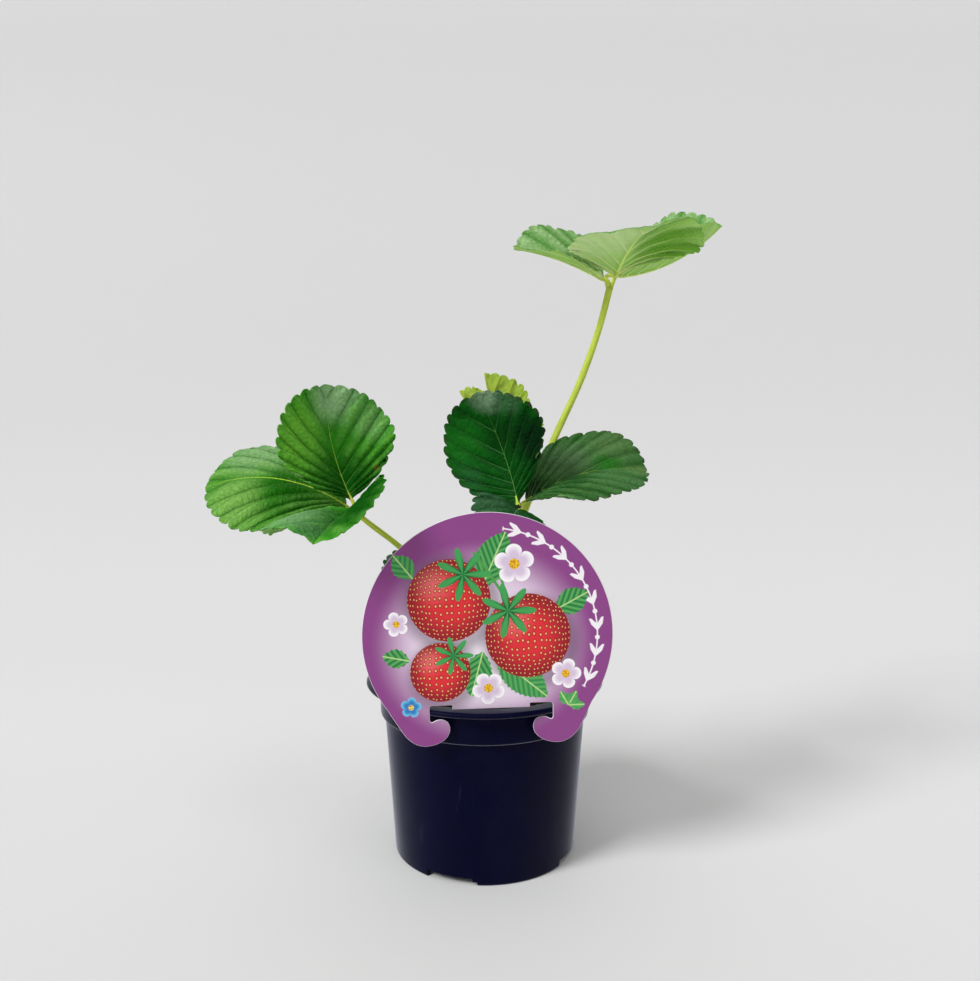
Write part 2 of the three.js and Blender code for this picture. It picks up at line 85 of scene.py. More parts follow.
LEAVES = [
    leaf("left_leaf", 170, (1.5, 1.15), 1.5,
         [(-8, 0, 97), (-20, -4, 120), (-36.8, -9, 137.7), (-49.7, -13, 148.8), (-55.4, -14.6, 154)],
         ("upper", (-56.5, -14, 159), 143, 55, -12, 51, 59, -38, 4, 10, (14, 18), (-18, -1), 11, 0.85,
          (0.1, 4)),
         ("outer", (-59, -11.5, 155.5), 195, 38, -32, 63, 57, 64, -9, -2, (-5, 4), (-26, -12), 11, 0.82,
          (0.04, 7)),
         ("lower", (-54.7, -25.7, 156.1), -104, -4, 9, 42.4, 60, 13, -4, -28, (34, 26), (20, -86), 10, 0.8)),
    leaf("centre_leaf", 285, (1.6, 1.3), 1.5,
         [(2, -6, 97), (5, -12, 120), (10, -17, 142), (14.8, -18.6, 153)],
         ("upper", (14, -20, 158), 108, 57, -53, 51, 56, -45, 6, 1, (8, 25), (-17, -13), 11),
         ("outer", (17.5, -19, 158.5), 6, 37, 9, 54, 55, 44, 13, 11, (14, 12), (9, -26), 11, 0.82, (0.06, 5)),
         ("lower", (14.5, -22, 155.5), -95, 12, -30, 26, 34, 75, 0, 10, (8, 14), (-15, -20), 8, 0.82)),
    leaf("tall_leaf", 355, (1.75, 1.45), 2.0,
         [(6, 2, 100), (11.5, 6, 130), (20, 8.5, 156), (31, 9, 183), (42.5, 8, 209), (50.3, 6.5, 232),
          (54.4, 4.6, 249)],
         ("front", (56.5, 3, 254), -82, 30, 7, 56, 56, 34, 3, 12, (17, 15), (-80, -14), 11, 0.77,
          (0.03, 4.5)),
         ("right", (58.5, 13, 255), -2, 2, 20, 50, 49, -48, 1, 1, (38, 39), (-4, 5), 10),
         ("left", (51.5, 4, 252.5), 182, 28, -21, 41, 42, 21, 1, -9, (29, 29), (-11, -11), 10, 0.85,
          (0.03, 6))),
    leaf("young_leaf", 75, (1.15, 0.9), 1.5,
         [(2, 8, 97), (3.5, 14, 125), (7.5, 18, 155), (9.5, 19, 172)],
         ("middle", (12, 20, 175.5), 177, 62, 47, 39.5, 36.5, -25, -2, 3, (60, 58), (-8, -8), 9),
         ("left", (8, 12, 174.5), 163, 52, 18, 36, 27, -7, 0, 0, (60, 72), (-8, -8), 8),
         ("right", (15.5, 17.5, 172), -5, 53, -30, 20.5, 15, -10, 0, 0, (55, 55), (-8, -8), 6)),
    leaf("low_leaf", 225, (1.15, 0.85), 1.5,
         [(-6, -8, 96), (-12, -17, 106), (-18, -24, 113), (-20.5, -26, 115)],
         ("outer", (-21.5, -27, 117), 182, 50, -50, 27, 21, 12, 0, 0, (14, 14), (-12, -12), 7),
         ("upper", (-19.5, -24, 118.5), 55, 55, 0, 26, 24, 20, 0, 0, (14, 14), (-12, -12), 7),
         ("lower", (-22.5, -28, 114), 215, -8, -20, 24, 22, 30, 0, 0, (14, 14), (-12, -12), 7)),
]

# ------------------------------------------------------------------ mesh helpers


def make_piece(name, points, faces, materials, face_materials=None, attributes=None, sharp=None):
    """A mesh object from points in millimetres, riding on the one body."""
    mesh = bpy.data.meshes.new(name)
    points = np.clip(np.asarray(points, float), *BOX_MM)
    mesh.from_pydata((points * MM).tolist(), [], [list(map(int, f)) for f in faces])
    for m in materials:
        mesh.materials.append(m)
    if face_materials is not None:
        mesh.polygons.foreach_set("material_index", np.asarray(face_materials, np.int32))
    mesh.polygons.foreach_set("use_smooth", np.ones(len(mesh.polygons), bool))
    for key, values in (attributes or {}).items():
        data = mesh.attributes.new(key, "FLOAT_VECTOR", "POINT")
        data.data.foreach_set("vector", np.asarray(values, np.float32).ravel())
    mesh.validate()
    mesh.update()
    piece = bpy.data.objects.new(name, mesh)
    scene.collection.objects.link(piece)
    if sharp is not None:
        mesh.set_sharp_from_angle(angle=math.radians(sharp))
    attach(piece, "root")
    return piece


def unit(v):
    return v / np.linalg.norm(v)


def turn(v, axis, angle):
    """v turned about a unit axis, in radians."""
    c, s = math.cos(angle), math.sin(angle)
    return v * c + np.cross(axis, v) * s + axis * np.dot(axis, v) * (1 - c)


def catmull(points, count):
    """Evenly spaced points on the centripetal curve through the given ones."""
    p = np.asarray(points, float)
    p = np.vstack([2 * p[0] - p[1], p, 2 * p[-1] - p[-2]])
    fine = []
    for i in range(1, len(p) - 2):
        p0, p1, p2, p3 = p[i - 1 : i + 3]
        d0, d1, d2 = (np.linalg.norm(b - a) ** 0.5 for a, b in ((p0, p1), (p1, p2), (p2, p3)))
        m1 = ((p1 - p0) / d0 - (p2 - p0) / (d0 + d1) + (p2 - p1) / d1) * d1
        m2 = ((p2 - p1) / d1 - (p3 - p1) / (d1 + d2) + (p3 - p2) / d2) * d1
        w = np.linspace(0, 1, 40, endpoint=i == len(p) - 3)[:, None]
        fine.append(p1 + m1 * w + (3 * (p2 - p1) - 2 * m1 - m2) * w**2 + (2 * (p1 - p2) + m1 + m2) * w**3)
    fine = np.vstack(fine)
    length = np.concatenate([[0], np.cumsum(np.linalg.norm(np.diff(fine, axis=0), axis=1))])
    at = np.linspace(0, length[-1], count)
    return np.stack([np.interp(at, length, fine[:, k]) for k in range(3)], 1), length[-1]


def frames_along(centres):
    """Unit tangent and two unit normals at each point of a line, turned as little as can be."""
    tangents = np.gradient(centres, axis=0)
    tangents /= np.linalg.norm(tangents, axis=1)[:, None]
    first = np.cross(tangents[0], (0.0, 1.0, 0.3))
    normals = [unit(first)]
    for t in tangents[1:]:
        n = normals[-1] - t * np.dot(normals[-1], t)
        normals.append(unit(n))
    normals = np.array(normals)
    return tangents, normals, np.cross(tangents, normals)


def circle(sides):
    """That many angles, evenly round a circle."""
    return np.arange(sides) * 2 * np.pi / sides


def bands(rings, sides):
    """The quads of a tube whose points run ring by ring."""
    return [(i + j, i + (j + 1) % sides, i + sides + (j + 1) % sides, i + sides + j)
            for i in range(0, (rings - 1) * sides, sides) for j in range(sides)]


def ends(rings, sides):
    """The first and the last face of such a tube."""
    last = (rings - 1) * sides
    return [tuple(range(sides))[::-1], tuple(range(last, last + sides))]


def tube(centres, radii, sides):
    """Points and faces of a tube along a line; radii is one number, a list, or an array of rings by sides."""
    centres = np.asarray(centres, float)
    count = len(centres)
    radii = np.asarray(radii, float)
    radii = np.broadcast_to(radii.reshape(-1, 1) if radii.ndim == 1 else radii, (count, sides))
    _, normals, others = frames_along(centres)
    angle = circle(sides)[None, :, None]
    ring = normals[:, None] * np.cos(angle) + others[:, None] * np.sin(angle)
    points = (centres[:, None] + ring * radii[..., None]).reshape(-1, 3)
    return points, bands(count, sides) + ends(count, sides)


def joined(parts):
    """Several (points, faces, material, attribute value) as one: points, faces, face materials, values."""
    points, faces, mats, values, start = [], [], [], [], 0
    for p, f, m, v in parts:
        points.append(p)
        faces += [tuple(i + start for i in face) for face in f]
        mats += [m] * len(f)
        values.append(np.broadcast_to(np.asarray(v, float), (len(p), 3)))
        start += len(p)
    return np.vstack(points), faces, mats, np.vstack(values)


def waves(x, y, scale, seed, count=14):
    """A smooth seeded field of about -1 to 1, with bumps of about the given size."""
    rng = np.random.default_rng(seed)
    angle, phase = rng.uniform(0, 2 * np.pi, (2, count))
    pitch = 2 * np.pi / (scale * rng.uniform(0.7, 1.6, count))
    ripples = (np.sin(p * (x * np.cos(a) + y * np.sin(a)) + f) for p, a, f in zip(pitch, angle, phase))
    return sum(ripples) / count**0.5


def unit_blob():
    """The points and faces of a small rough ball."""
    ball = bmesh.new()
    bmesh.ops.create_icosphere(ball, subdivisions=1, radius=1)
    points = np.array([v.co for v in ball.verts])
    faces = [tuple(v.index for v in f.verts) for f in ball.faces]
    ball.free()
    return points, faces


BLOB, BLOB_FACES = unit_blob()

# ------------------------------------------------------------------ material helpers


def rgb(code):
    """A colour written as six hexadecimal digits, as the linear values that the shaders take."""
    values = [int(code[i : i + 2], 16) / 255 for i in (0, 2, 4)]
    return tuple(v / 12.92 if v <= 0.04045 else ((v + 0.055) / 1.055) ** 2.4 for v in values)


class Value:
    """What a node gives out; arithmetic with it adds nodes."""

    def __init__(self, graph, socket):
        self.graph, self.socket = graph, socket


def arithmetic(operation, swapped=False):
    def method(self, *other):
        return self.graph.math(operation, *((*other, self) if swapped else (self, *other)))
    return method


for sign, operation in dict(add="ADD", sub="SUBTRACT", mul="MULTIPLY", truediv="DIVIDE", pow="POWER").items():
    setattr(Value, f"__{sign}__", arithmetic(operation))
    setattr(Value, f"__r{sign}__", arithmetic(operation, swapped=True))
Value.__abs__ = arithmetic("ABSOLUTE")


class Graph:
    """A material's node tree, with its Principled shader."""

    def __init__(self, name):
        self.material = bpy.data.materials.new(name)
        self.material.use_nodes = True
        self.tree = self.material.node_tree
        self.shader = self.tree.nodes["Principled BSDF"]

    def put(self, socket, value):
        """Give a socket another node's value, a colour's code, or plain numbers."""
        if isinstance(value, Value):
            self.tree.links.new(value.socket, socket)
        elif isinstance(value, str):
            socket.default_value = (*rgb(value), 1)
        else:
            socket.default_value = value

    def add(self, kind, inputs=(), out=0, **settings):
        node = self.tree.nodes.new("ShaderNode" + kind)
        for key, value in settings.items():
            setattr(node, key, value)
        for key, value in inputs.items() if isinstance(inputs, dict) else enumerate(inputs):
            self.put(node.inputs[key], value)
        return Value(self, node.outputs[out])

    def math(self, operation, *values):
        return self.add("Math", values, operation=operation)

    def distance(self, x, y):
        return self.math("SQRT", x * x + y * y)

    def fit(self, value, a, b, c=0.0, d=1.0, smooth=True):
        """The value's way from a to b as one from c to d."""
        kind = "SMOOTHSTEP" if smooth else "LINEAR"
        return self.add("MapRange", (value, a, b, c, d), interpolation_type=kind)

    def fall(self, value, a, b):
        """1 up to a, 0 beyond b."""
        return self.fit(value, a, b, 1.0, 0.0)

    def mix(self, share, a, b):
        return self.add("Mix", {0: share, 6: a, 7: b}, out=2, data_type="RGBA")

    def split(self, vector):
        node = self.add("SeparateXYZ", (vector,)).socket.node
        return [Value(self, socket) for socket in node.outputs]

    def join(self, x, y, z=0.0):
        return self.add("CombineXYZ", (x, y, z))

    def attribute(self, name):
        return self.add("Attribute", out="Vector", attribute_name=name)

    def place(self):
        return self.add("TexCoord", out="Object")

    def noise(self, where, scale, detail=2.0, roughness=0.5, stretch=None, out="Fac"):
        if stretch is not None:
            where = self.add("VectorMath", (where, stretch), operation="MULTIPLY")
        inputs = {"Vector": where, "Scale": scale, "Detail": detail, "Roughness": roughness}
        return self.add("TexNoise", inputs, out=out)

    def cells(self, where, scale, feature="DISTANCE_TO_EDGE", randomness=1.0):
        inputs = {"Vector": where, "Scale": scale, "Randomness": randomness}
        return self.add("TexVoronoi", inputs, out="Distance", feature=feature, voronoi_dimensions="2D")

    def surface(self, color, roughness, specular=0.5, bump_mm=None, **more):
        """Set the shader's inputs, with a relief in millimetres."""
        sockets = {socket.name.lower().replace(" ", "_"): socket for socket in self.shader.inputs}
        inputs = dict(more, base_color=color, roughness=roughness, specular_ior_level=specular)
        if bump_mm is not None:
            inputs["normal"] = self.add("Bump", {"Strength": 1.0, "Distance": MM, "Height": bump_mm})
        for name, value in inputs.items():
            self.put(sockets[name], value)
        return self.material


def mottled(name, scale, one, other, roughness):
    """A plain material whose colour wanders between two."""
    g = Graph(name)
    return g.surface(g.mix(g.noise(g.place(), scale), one, other), roughness)


# ------------------------------------------------------------------ camera, floor and light

# as the pot's ellipses in the photograph give them: the place in millimetres, the tilt in radians
FOCAL_PIXELS, PICTURE_PIXELS = 963.5, 981
CAMERA_PLACE, CAMERA_DOWN = (2.4, -420, 207.8), 0.111

camera = bpy.data.objects.new("camera", bpy.data.cameras.new("camera"))
camera.data.sensor_width = 36
camera.data.lens = 36 * FOCAL_PIXELS / PICTURE_PIXELS
camera.data.clip_start, camera.data.clip_end = 0.01, 30
camera.location = Vector(CAMERA_PLACE) * MM
camera.rotation_euler = (math.pi / 2 - CAMERA_DOWN, 0, 0)
scene.collection.objects.link(camera)
scene.camera = camera
scene.view_settings.view_transform = "Standard"

# The floor runs back into a wall by a wide curve.
bend_start, bend_radius, half_width = 0.3, 0.7, 4.0
profile = [(-4.0, 0.0), (-1.0, 0.0), (0.0, 0.0), (bend_start, 0.0)]
profile += [(bend_start + bend_radius * math.sin(a), bend_radius * (1 - math.cos(a)))
            for a in np.radians(np.linspace(4, 90, 22))]
profile += [(bend_start + bend_radius, 4.0)]
floor_mesh = bpy.data.meshes.new("floor")
floor_mesh.from_pydata([(x, y, z) for y, z in profile for x in (-half_width, half_width)], [],
                       [(2 * i, 2 * i + 1, 2 * i + 3, 2 * i + 2) for i in range(len(profile) - 1)])
floor_mesh.polygons.foreach_set("use_smooth", [True] * len(floor_mesh.polygons))
floor = bpy.data.objects.new("floor", floor_mesh)
scene.collection.objects.link(floor)
g = Graph("pale_floor")
_, depth, height = g.split(g.place())
paper = g.mix(g.fit(depth, 0.1, 0.9), g.mix(g.noise(g.place(), 3.0), "DADADA", "DDDDDD"), "C8C8C8")
floor_mesh.materials.append(g.surface(g.mix(g.fit(height, 0.15, 1.1), paper, "E2E2E2"), 0.6, 0.2))

world = bpy.data.worlds.new("studio")
scene.world = world
world.use_nodes = True
background = world.node_tree.nodes["Background"]
background.inputs["Color"].default_value = (1, 1, 1, 1)
background.inputs["Strength"].default_value = 0.36


def lamp(name, towards, strength, spread, shadow=True):
    """A far lamp that shines from the direction given, with that spread in degrees."""
    data = bpy.data.lights.new(name, "SUN")
    data.energy = strength
    data.angle = math.radians(spread)
    data.use_shadow = shadow
    obj = bpy.data.objects.new(name, data)
    obj.rotation_euler = Vector(towards).to_track_quat("Z", "Y").to_euler()
    scene.collection.objects.link(obj)


lamp("key", (-0.8, -0.62, 0.85), 2.3, 20)
lamp("fill", (0.1, -0.5, 0.9), 0.4, 30)
lamp("front", (-0.5, -1.0, 0.2), 0.2, 40, shadow=False)

# ------------------------------------------------------------------ leaf blades


def midrib_of(leaf):
    heading, rise = math.radians(leaf["heading"]), math.radians(leaf["rise"])
    level = math.cos(rise)
    forward = np.array([level * math.cos(heading), level * math.sin(heading), math.sin(rise)])
    up = turn(unit(np.array([0, 0, 1.0]) - forward * forward[2]), forward, math.radians(leaf["roll"]))
    at = np.array(leaf["base"], float)
    arch, sway, twist = (math.radians(leaf[k]) / RIB_STEPS for k in ("arch", "sway", "twist"))
    rib = []
    for _ in range(RIB_STEPS + 1):
        side = np.cross(forward, up)
        rib.append((at.copy(), forward.copy(), up.copy(), side))
        before = forward
        forward, up = turn(forward, side, -arch), turn(up, side, -arch)
        forward = unit(turn(forward, up, -sway))
        at = at + unit(before + forward) * leaf["length"] / RIB_STEPS
        up = turn(unit(up - forward * np.dot(up, forward)), forward, twist)
    return [np.array([r[k] for r in rib]) for k in range(4)]


def outline_of(leaf, t):
    out = 0.5 * leaf["width"] * np.sin(np.pi * t).clip(0) ** (1.25 - 0.4 * t)
    along = leaf["length"] * ((1 - np.cos(np.pi * t)) / 2) ** leaf["fullness"]
    return out, along


def on_blade(leaf, rib, sign, x, y, lift):
    """Points of the blade's middle sheet, x out from the midrib and y along it."""
    place = np.clip(y / leaf["length"] * RIB_STEPS, 0, RIB_STEPS - 1e-6)
    i = place.astype(int)
    w = (place - i)[..., None]
    at, forward, up, side = (a[i] * (1 - w) + a[i + 1] * w for a in rib)
    half = 1 if sign > 0 else 0
    fold, curl = math.radians(leaf["fold"][half]), leaf["curl"][half]
    bend = math.radians(curl if abs(curl) > 0.5 else 0.5) / (leaf["width"] / 2)
    across = (np.sin(fold + bend * x) - math.sin(fold)) / bend
    above = -(np.cos(fold + bend * x) - math.cos(fold)) / bend
    beyond = np.maximum(0, y - leaf["length"])[..., None]
    return at + forward * beyond + side * (sign * across)[..., None] + up * (above + lift)[..., None]


BRANCH_CURVE = 1.25  # how a side vein's branch bends away from it, to the tooth below
CROSS_PITCH = 2.6  # millimetres between the small ribs that cross each swelling
THICKNESS = 0.42


def branch_start(cell, side):
    """How far out each side vein sends its branch, as a share of the way to the margin."""
    scatter = np.modf(np.abs(np.sin(cell * 2.4 + np.sign(side)) * 7.3))[0]
    return 0.24 + 0.2 * scatter + 0.03 * np.maximum(cell, 0)


# the columns of points across half a blade, closer at the midrib and at the margin
COLUMNS = np.array([0, 0.012, 0.03, 0.055, 0.09, 0.13, *np.linspace(0.18, 0.83, 14),
                    0.875, 0.91, 0.94, 0.965, 0.985, 1])


def leaflet_piece(leaf, name, seed, upper, lower, pleat_depth):
    """One blade's mesh: two halves that meet in the midrib, an upper and a lower sheet, and the rim."""
    rng = np.random.default_rng(int(seed * 10) + 7)
    rib = midrib_of(leaf)
    length = leaf["length"]
    teeth = leaf["teeth"] + 0.5
    fine_rows = teeth * (12 if length > 38 else 9)
    t = np.concatenate([
        TOOTH_START * np.arange(1, 12) / 12,
        TOOTH_START + (1 - TOOTH_START) * np.arange(0, round(fine_rows)) / fine_rows,
    ])
    rows, columns = len(t), len(COLUMNS)
    T, S = np.meshgrid(t, COLUMNS, indexing="ij")
    q = (T - TOOTH_START) / (1 - TOOTH_START) * teeth
    out, along = outline_of(leaf, T)
    step = 1e-3
    tangent = np.subtract(outline_of(leaf, T + step), outline_of(leaf, T - step))
    tangent /= np.hypot(*tangent)
    normal = np.stack([tangent[1], -tangent[0]])
    size = TOOTH_DEPTH * (0.6 + 0.4 * np.sin(np.pi * T))
    low_share, power = leaf["veins"]
    start = length * (low_share * T + (1 - low_share) * T**power)
    points, flat = {}, {}
    for sign in (-1, 1):
        # each tooth gets its own width and depth
        wobble = np.interp(q, np.arange(0, teeth + 2), rng.normal(0, 0.07, int(teeth + 2.5)))
        p = np.mod(q, 1.0) ** (1.18 + wobble)
        bulge = (1 - np.abs(2 * p - 1) ** 2.3) ** 0.72
        low = np.where(q < 0.5, 0.0, (TOOTH_OUT - 1) * (1 + 1.5 * wobble))
        offset = np.where(q < 0, 0.0, size * (low + (TOOTH_OUT - low) * bulge))
        lean = np.where(q < 0, 0.0, 0.35 * size * bulge * (q > 0.5))
        W = S**4
        x = np.maximum(S * out + W * (offset * normal[0] + lean * tangent[0]), 0)
        y = start + (along - start) * (0.9 * S + 0.1 * S * S) + W * (offset * normal[1] + lean * tangent[1])
        wave = WAVE * S * S * np.sin(np.pi * T) * np.sin(2 * np.pi * WAVE_COUNT * T + seed + sign)
        points[sign] = on_blade(leaf, rib, sign, x, y, wave)
        flat[sign] = (x, y)
    tip_y = length + TOOTH_DEPTH * 0.6 * TOOTH_OUT
    tip = on_blade(leaf, rib, 1, np.zeros(1), np.array([tip_y]), np.zeros(1))[0]
    # vertices: the base, the tip, the midrib, then the two halves
    halves = [points[sign][:, 1:].reshape(-1, 3) for sign in (-1, 1)]
    mid = np.vstack([rib[0][0], tip, points[1][:, 0], *halves])

    def index(sign, r, c):
        if c == 0:
            return 2 + r
        return 2 + rows + (0 if sign < 0 else rows * (columns - 1)) + r * (columns - 1) + c - 1

    faces = []
    for sign in (-1, 1):
        for c in range(columns - 1):
            corners = [[index(sign, r, k) for k in (c, c + 1)] for r in range(rows)]
            found = [(a, b, d, e) for (a, b), (e, d) in zip(corners, corners[1:])]
            found += [(0, *corners[0][::-1]), (1, *corners[-1])]
            faces += [face[::sign] for face in found]

    # what the materials need: the side-vein count, the share of the way out, and the veins' spacing
    vein = (q - 0.5) / leaf["teeth_a_vein"]
    pitch = {}
    for sign in (-1, 1):
        by_row = np.stack([np.gradient(a, axis=0) for a in flat[sign]]) / np.gradient(vein, axis=0)
        by_col = np.stack([np.gradient(a, axis=1) for a in flat[sign]])
        by_col /= np.linalg.norm(by_col, axis=0) + 1e-9
        pitch[sign] = np.abs(by_row[0] * by_col[1] - by_row[1] * by_col[0])

    def spread(at_base, at_tip, middle, left, right):
        return np.concatenate([[at_base, at_tip], middle, left[:, 1:].ravel(), right[:, 1:].ravel()])

    V = spread(vein[0, 0] - 0.05, vein[-1, 0] + 0.02, vein[:, 0], vein, vein)
    SS = spread(0, 0.5, S[:, 0], S, S)
    PP = spread(0.5, 0.5, pitch[1][:, 1], pitch[-1], pitch[1])
    X = spread(0, 0, np.zeros(rows), -flat[-1][0], flat[1][0])
    Y = spread(0, tip_y, start[:, 0], flat[-1][1], flat[1][1])
    TT = spread(0, 1, T[:, 0], T, T)
    START = spread(0, length, start[:, 0], start, start)
    share = Y / length

    # relief in millimetres: pleats between the side veins, a furrow along the midrib, ribs below
    f = V - np.floor(V)
    near = 2 * np.minimum(f, 1 - f)
    env = np.sin(np.pi * np.minimum(1, 0.86 * SS)) ** 0.75 * np.clip((TT - 0.02) / 0.12, 0, 1)
    env *= np.clip((1.02 - TT) / 0.12, 0.25, 1)
    relief = pleat_depth * env * (2 * np.sin(np.pi / 2 * near) ** 0.8 - 1.15)
    branch_from = branch_start(np.floor(V), X)
    b = 0.5 * np.clip((SS - branch_from) / (1 - branch_from), 0, 1) ** BRANCH_CURVE
    branch = np.abs(1 - f - b) * PP
    out_share = np.clip((SS - branch_from) / 0.25, 0, 1)
    relief -= 0.75 * pleat_depth * env * out_share * np.exp(-((branch / 0.9) ** 2))
    for size_mm, height in ((7, 0.16), (3.4, 0.12)):
        relief += height * waves(X, Y, size_mm, int(seed * 10) + 3) * np.clip(SS * 3, 0, 1)
    groove = np.exp(-((X / 0.55) ** 2)) * np.clip(1.1 - share, 0.1, 1)
    vein_mm = np.minimum(f, 1 - f) * PP
    rib_low = np.exp(-((vein_mm / 0.33) ** 2)) * (1 - 0.75 * SS)
    rib_low *= np.clip(SS * 12, 0, 1) * np.clip(PP / 1.5, 0, 1)
    thin = THICKNESS * (1 - 0.45 * SS**6)

    normals = np.zeros_like(mid)
    quads = np.array([fc if len(fc) == 4 else (*fc, fc[2]) for fc in faces])
    a, b, c, d = (mid[quads[:, k]] for k in range(4))
    across = np.where((quads[:, 2] == quads[:, 3])[:, None], np.cross(b - a, c - a), np.cross(c - a, d - b))
    for k in range(4):
        np.add.at(normals, quads[:, k], across)
    normals /= np.linalg.norm(normals, axis=1)[:, None] + 1e-12
    top = mid + normals * (relief + thin / 2 - 0.28 * groove)[:, None]
    sunk = 0.95 * groove * np.clip(1.15 - share, 0.2, 1)
    bottom = mid + normals * (relief - thin / 2 - sunk - 0.3 * rib_low)[:, None]
    count = len(mid)
    all_faces = faces + [tuple(i + count for i in fc[::-1]) for fc in faces]
    # the rim, from the base round one half to the tip and back along the other
    loop = [0] + [index(1, r, columns - 1) for r in range(rows)] + [1]
    loop += [index(-1, r, columns - 1) for r in reversed(range(rows))]
    all_faces += [(i, i + count, k + count, k) for i, k in zip(loop, loop[1:] + loop[:1])]
    mats = [0] * len(faces) + [1] * len(faces) + [0] * len(loop)
    crossing = (np.hypot(X, Y - START) + 0.7 * near * PP) / CROSS_PITCH + 0.37 * np.floor(V)
    values = dict(vein=(V, SS, PP), flat=(X, Y, TT), branch=(branch / PP, out_share, near),
                  cross=(crossing, X, Y))
    attributes = {key: np.tile(np.stack(three, 1), (2, 1)) for key, three in values.items()}
    return make_piece(name, np.vstack([top, bottom]), all_faces, [upper, lower], mats, attributes)


def leaf_material(name, shade_color, base, light, vein, teeth_a_vein, rib=None, under=False, veins_seen=0.5,
                  furrow=0.6, roughness=0.42, specular=0.04, vein_width=0.13, net=0.05, subsurface=0.15,
                  length=50.0, rib_width=0.22, tips=0.3, calm=0.0, tints=()):
    """The blade's colour: base between veins, painted shade in the furrows, a painted highlight on the
    swellings, and a vein net.

    Each tint is a soft patch: x and y on the flat blade, its radius in millimetres, its colour and its share.
    The tints are partly the blade's own colour and partly painted light: painted sheen, and lighter and
    darker patches painted as light and shade.
    """
    g = Graph(name)
    counts, flat, forks = (g.split(g.attribute(key)) for key in ("vein", "flat", "branch"))
    count, out_share, pitch = counts
    fork, fork_share, crest = forks
    f = g.math("FRACT", count)
    side_mm = g.math("MINIMUM", f, 1.0 - f) * pitch
    side = g.fall(side_mm / g.fit(out_share, 0.0, 1.0, vein_width * 1.2, vein_width * 0.4), 0.6, 1.5)
    branch_mm = fork * pitch
    branch = g.fall(branch_mm, vein_width * 0.3, vein_width * 0.9) * g.fit(fork_share, 0.02, 0.2)
    mid_width = g.fit(flat[1], 0.0, 0.9 * length, rib_width * (2 if under else 1), 0.12, smooth=False)
    mid = g.fall(abs(flat[0]) / mid_width, 0.7, 1.35)
    # the net of small veins
    flat_place = g.join(flat[0], flat[1])
    warped = g.add("VectorMath", (flat_place, g.noise(flat_place, 0.5, out="Color")), operation="ADD")
    net_mm = g.cells(warped, 0.7)
    quilt = g.fit(g.cells(warped, 0.38), 0.0, 0.4)
    # colour
    patch = g.noise(g.place(), 90.0, 3.0, 0.6)
    # painted highlight: the swellings between the side veins are lighter, as if catching the light
    crest_highlight = g.fit(crest, 0.15, 0.9) * g.fit(out_share, 0.0, 0.3)
    color = g.mix(crest_highlight * g.fit(patch, 0.25, 0.7, 0.35, 1.0), base, light)
    fine = g.noise(g.place(), 900.0, 2.0, 0.6)
    color = g.mix(g.fit(fine, 0.3, 0.7) * 0.12, color, light)
    # tints: partly the blade's own colour, partly painted sheen, painted light and painted shade
    for tint_x, tint_y, radius, tint, share in tints:
        away = g.distance(flat[0] - tint_x, flat[1] - tint_y)
        if radius > 4:
            mask = g.fall(away + (patch - 0.5) * (0.8 * radius), 0.2 * radius, radius)
        else:
            mask = g.fall(away + g.noise(flat_place, 0.9) * radius, 0.9 * radius, 1.5 * radius)
        color = g.mix(mask * share, color, tint)
    if under:
        # seen from below, the shade lies beside each raised vein; calm names the half that has little of it
        low = g.fall(abs(f - 0.34), 0.0, 0.32) * g.fit(out_share, 0.02, 0.3)
        low = low * g.fit(flat[0] * calm, -2.0, 2.0, 1.0, 0.2)
    else:
        # painted shade: above, the colour darkens beside each side vein and along its branch, as shade lying
        # in the furrows
        low = g.fit(side_mm, 0.0, 0.45, 0.6, 0.0) + g.fit(side_mm, 0.0, 1.4, 0.35, 0.0)
        low = low * g.fit(out_share, 0.02, 0.2)
        low = g.math("MAXIMUM", low, g.fall(branch_mm, 0.0, 0.45) * g.fit(fork_share, 0.0, 0.6) * 0.6)
    color = g.mix(low * furrow, color, shade_color)
    cross_at = g.math("FRACT", g.split(g.attribute("cross"))[0])
    cross_mm = g.math("MINIMUM", cross_at, 1.0 - cross_at) * CROSS_PITCH
    cross = g.fall(cross_mm, 0.05, 0.4) * g.fit(out_share, 0.06, 0.2)
    # above, the sunk cross ribs and small veins are drawn in the painted shade colour; below, in the vein
    # colour
    line = vein if under else shade_color
    color = g.mix(cross * ((0.06 if under else 0.22) * furrow), color, line)
    color = g.mix(g.fall(net_mm, 0.0, 0.16) * (1.8 * net), color, line)
    # painted shade in the sunk lines between the quilted cells
    color = g.mix((1.0 - quilt) * ((0.08 if under else 0.3) * furrow), color, shade_color)
    veins = g.math("MAXIMUM", side, branch * 0.75)
    color = g.mix(veins * g.fit(out_share, 0.05, 0.95, 1.0, 0.45) * veins_seen, color, vein)
    color = g.mix(mid * g.fit(flat[1], 0.35 * length, 0.95 * length, 0.95, 0.35), color, rib or vein)
    # the teeth darken to a purplish brown at their tips
    tooth = g.math("FRACT", count * teeth_a_vein + 0.5)
    tip = g.fall(abs(tooth - 0.5), 0.1, 0.42) * g.fit(out_share, 0.93, 1.0)
    tip = tip * g.fit(g.noise(g.place(), 110.0), 0.35, 0.6)
    color = g.mix(tip * tips, color, "4A2E34")
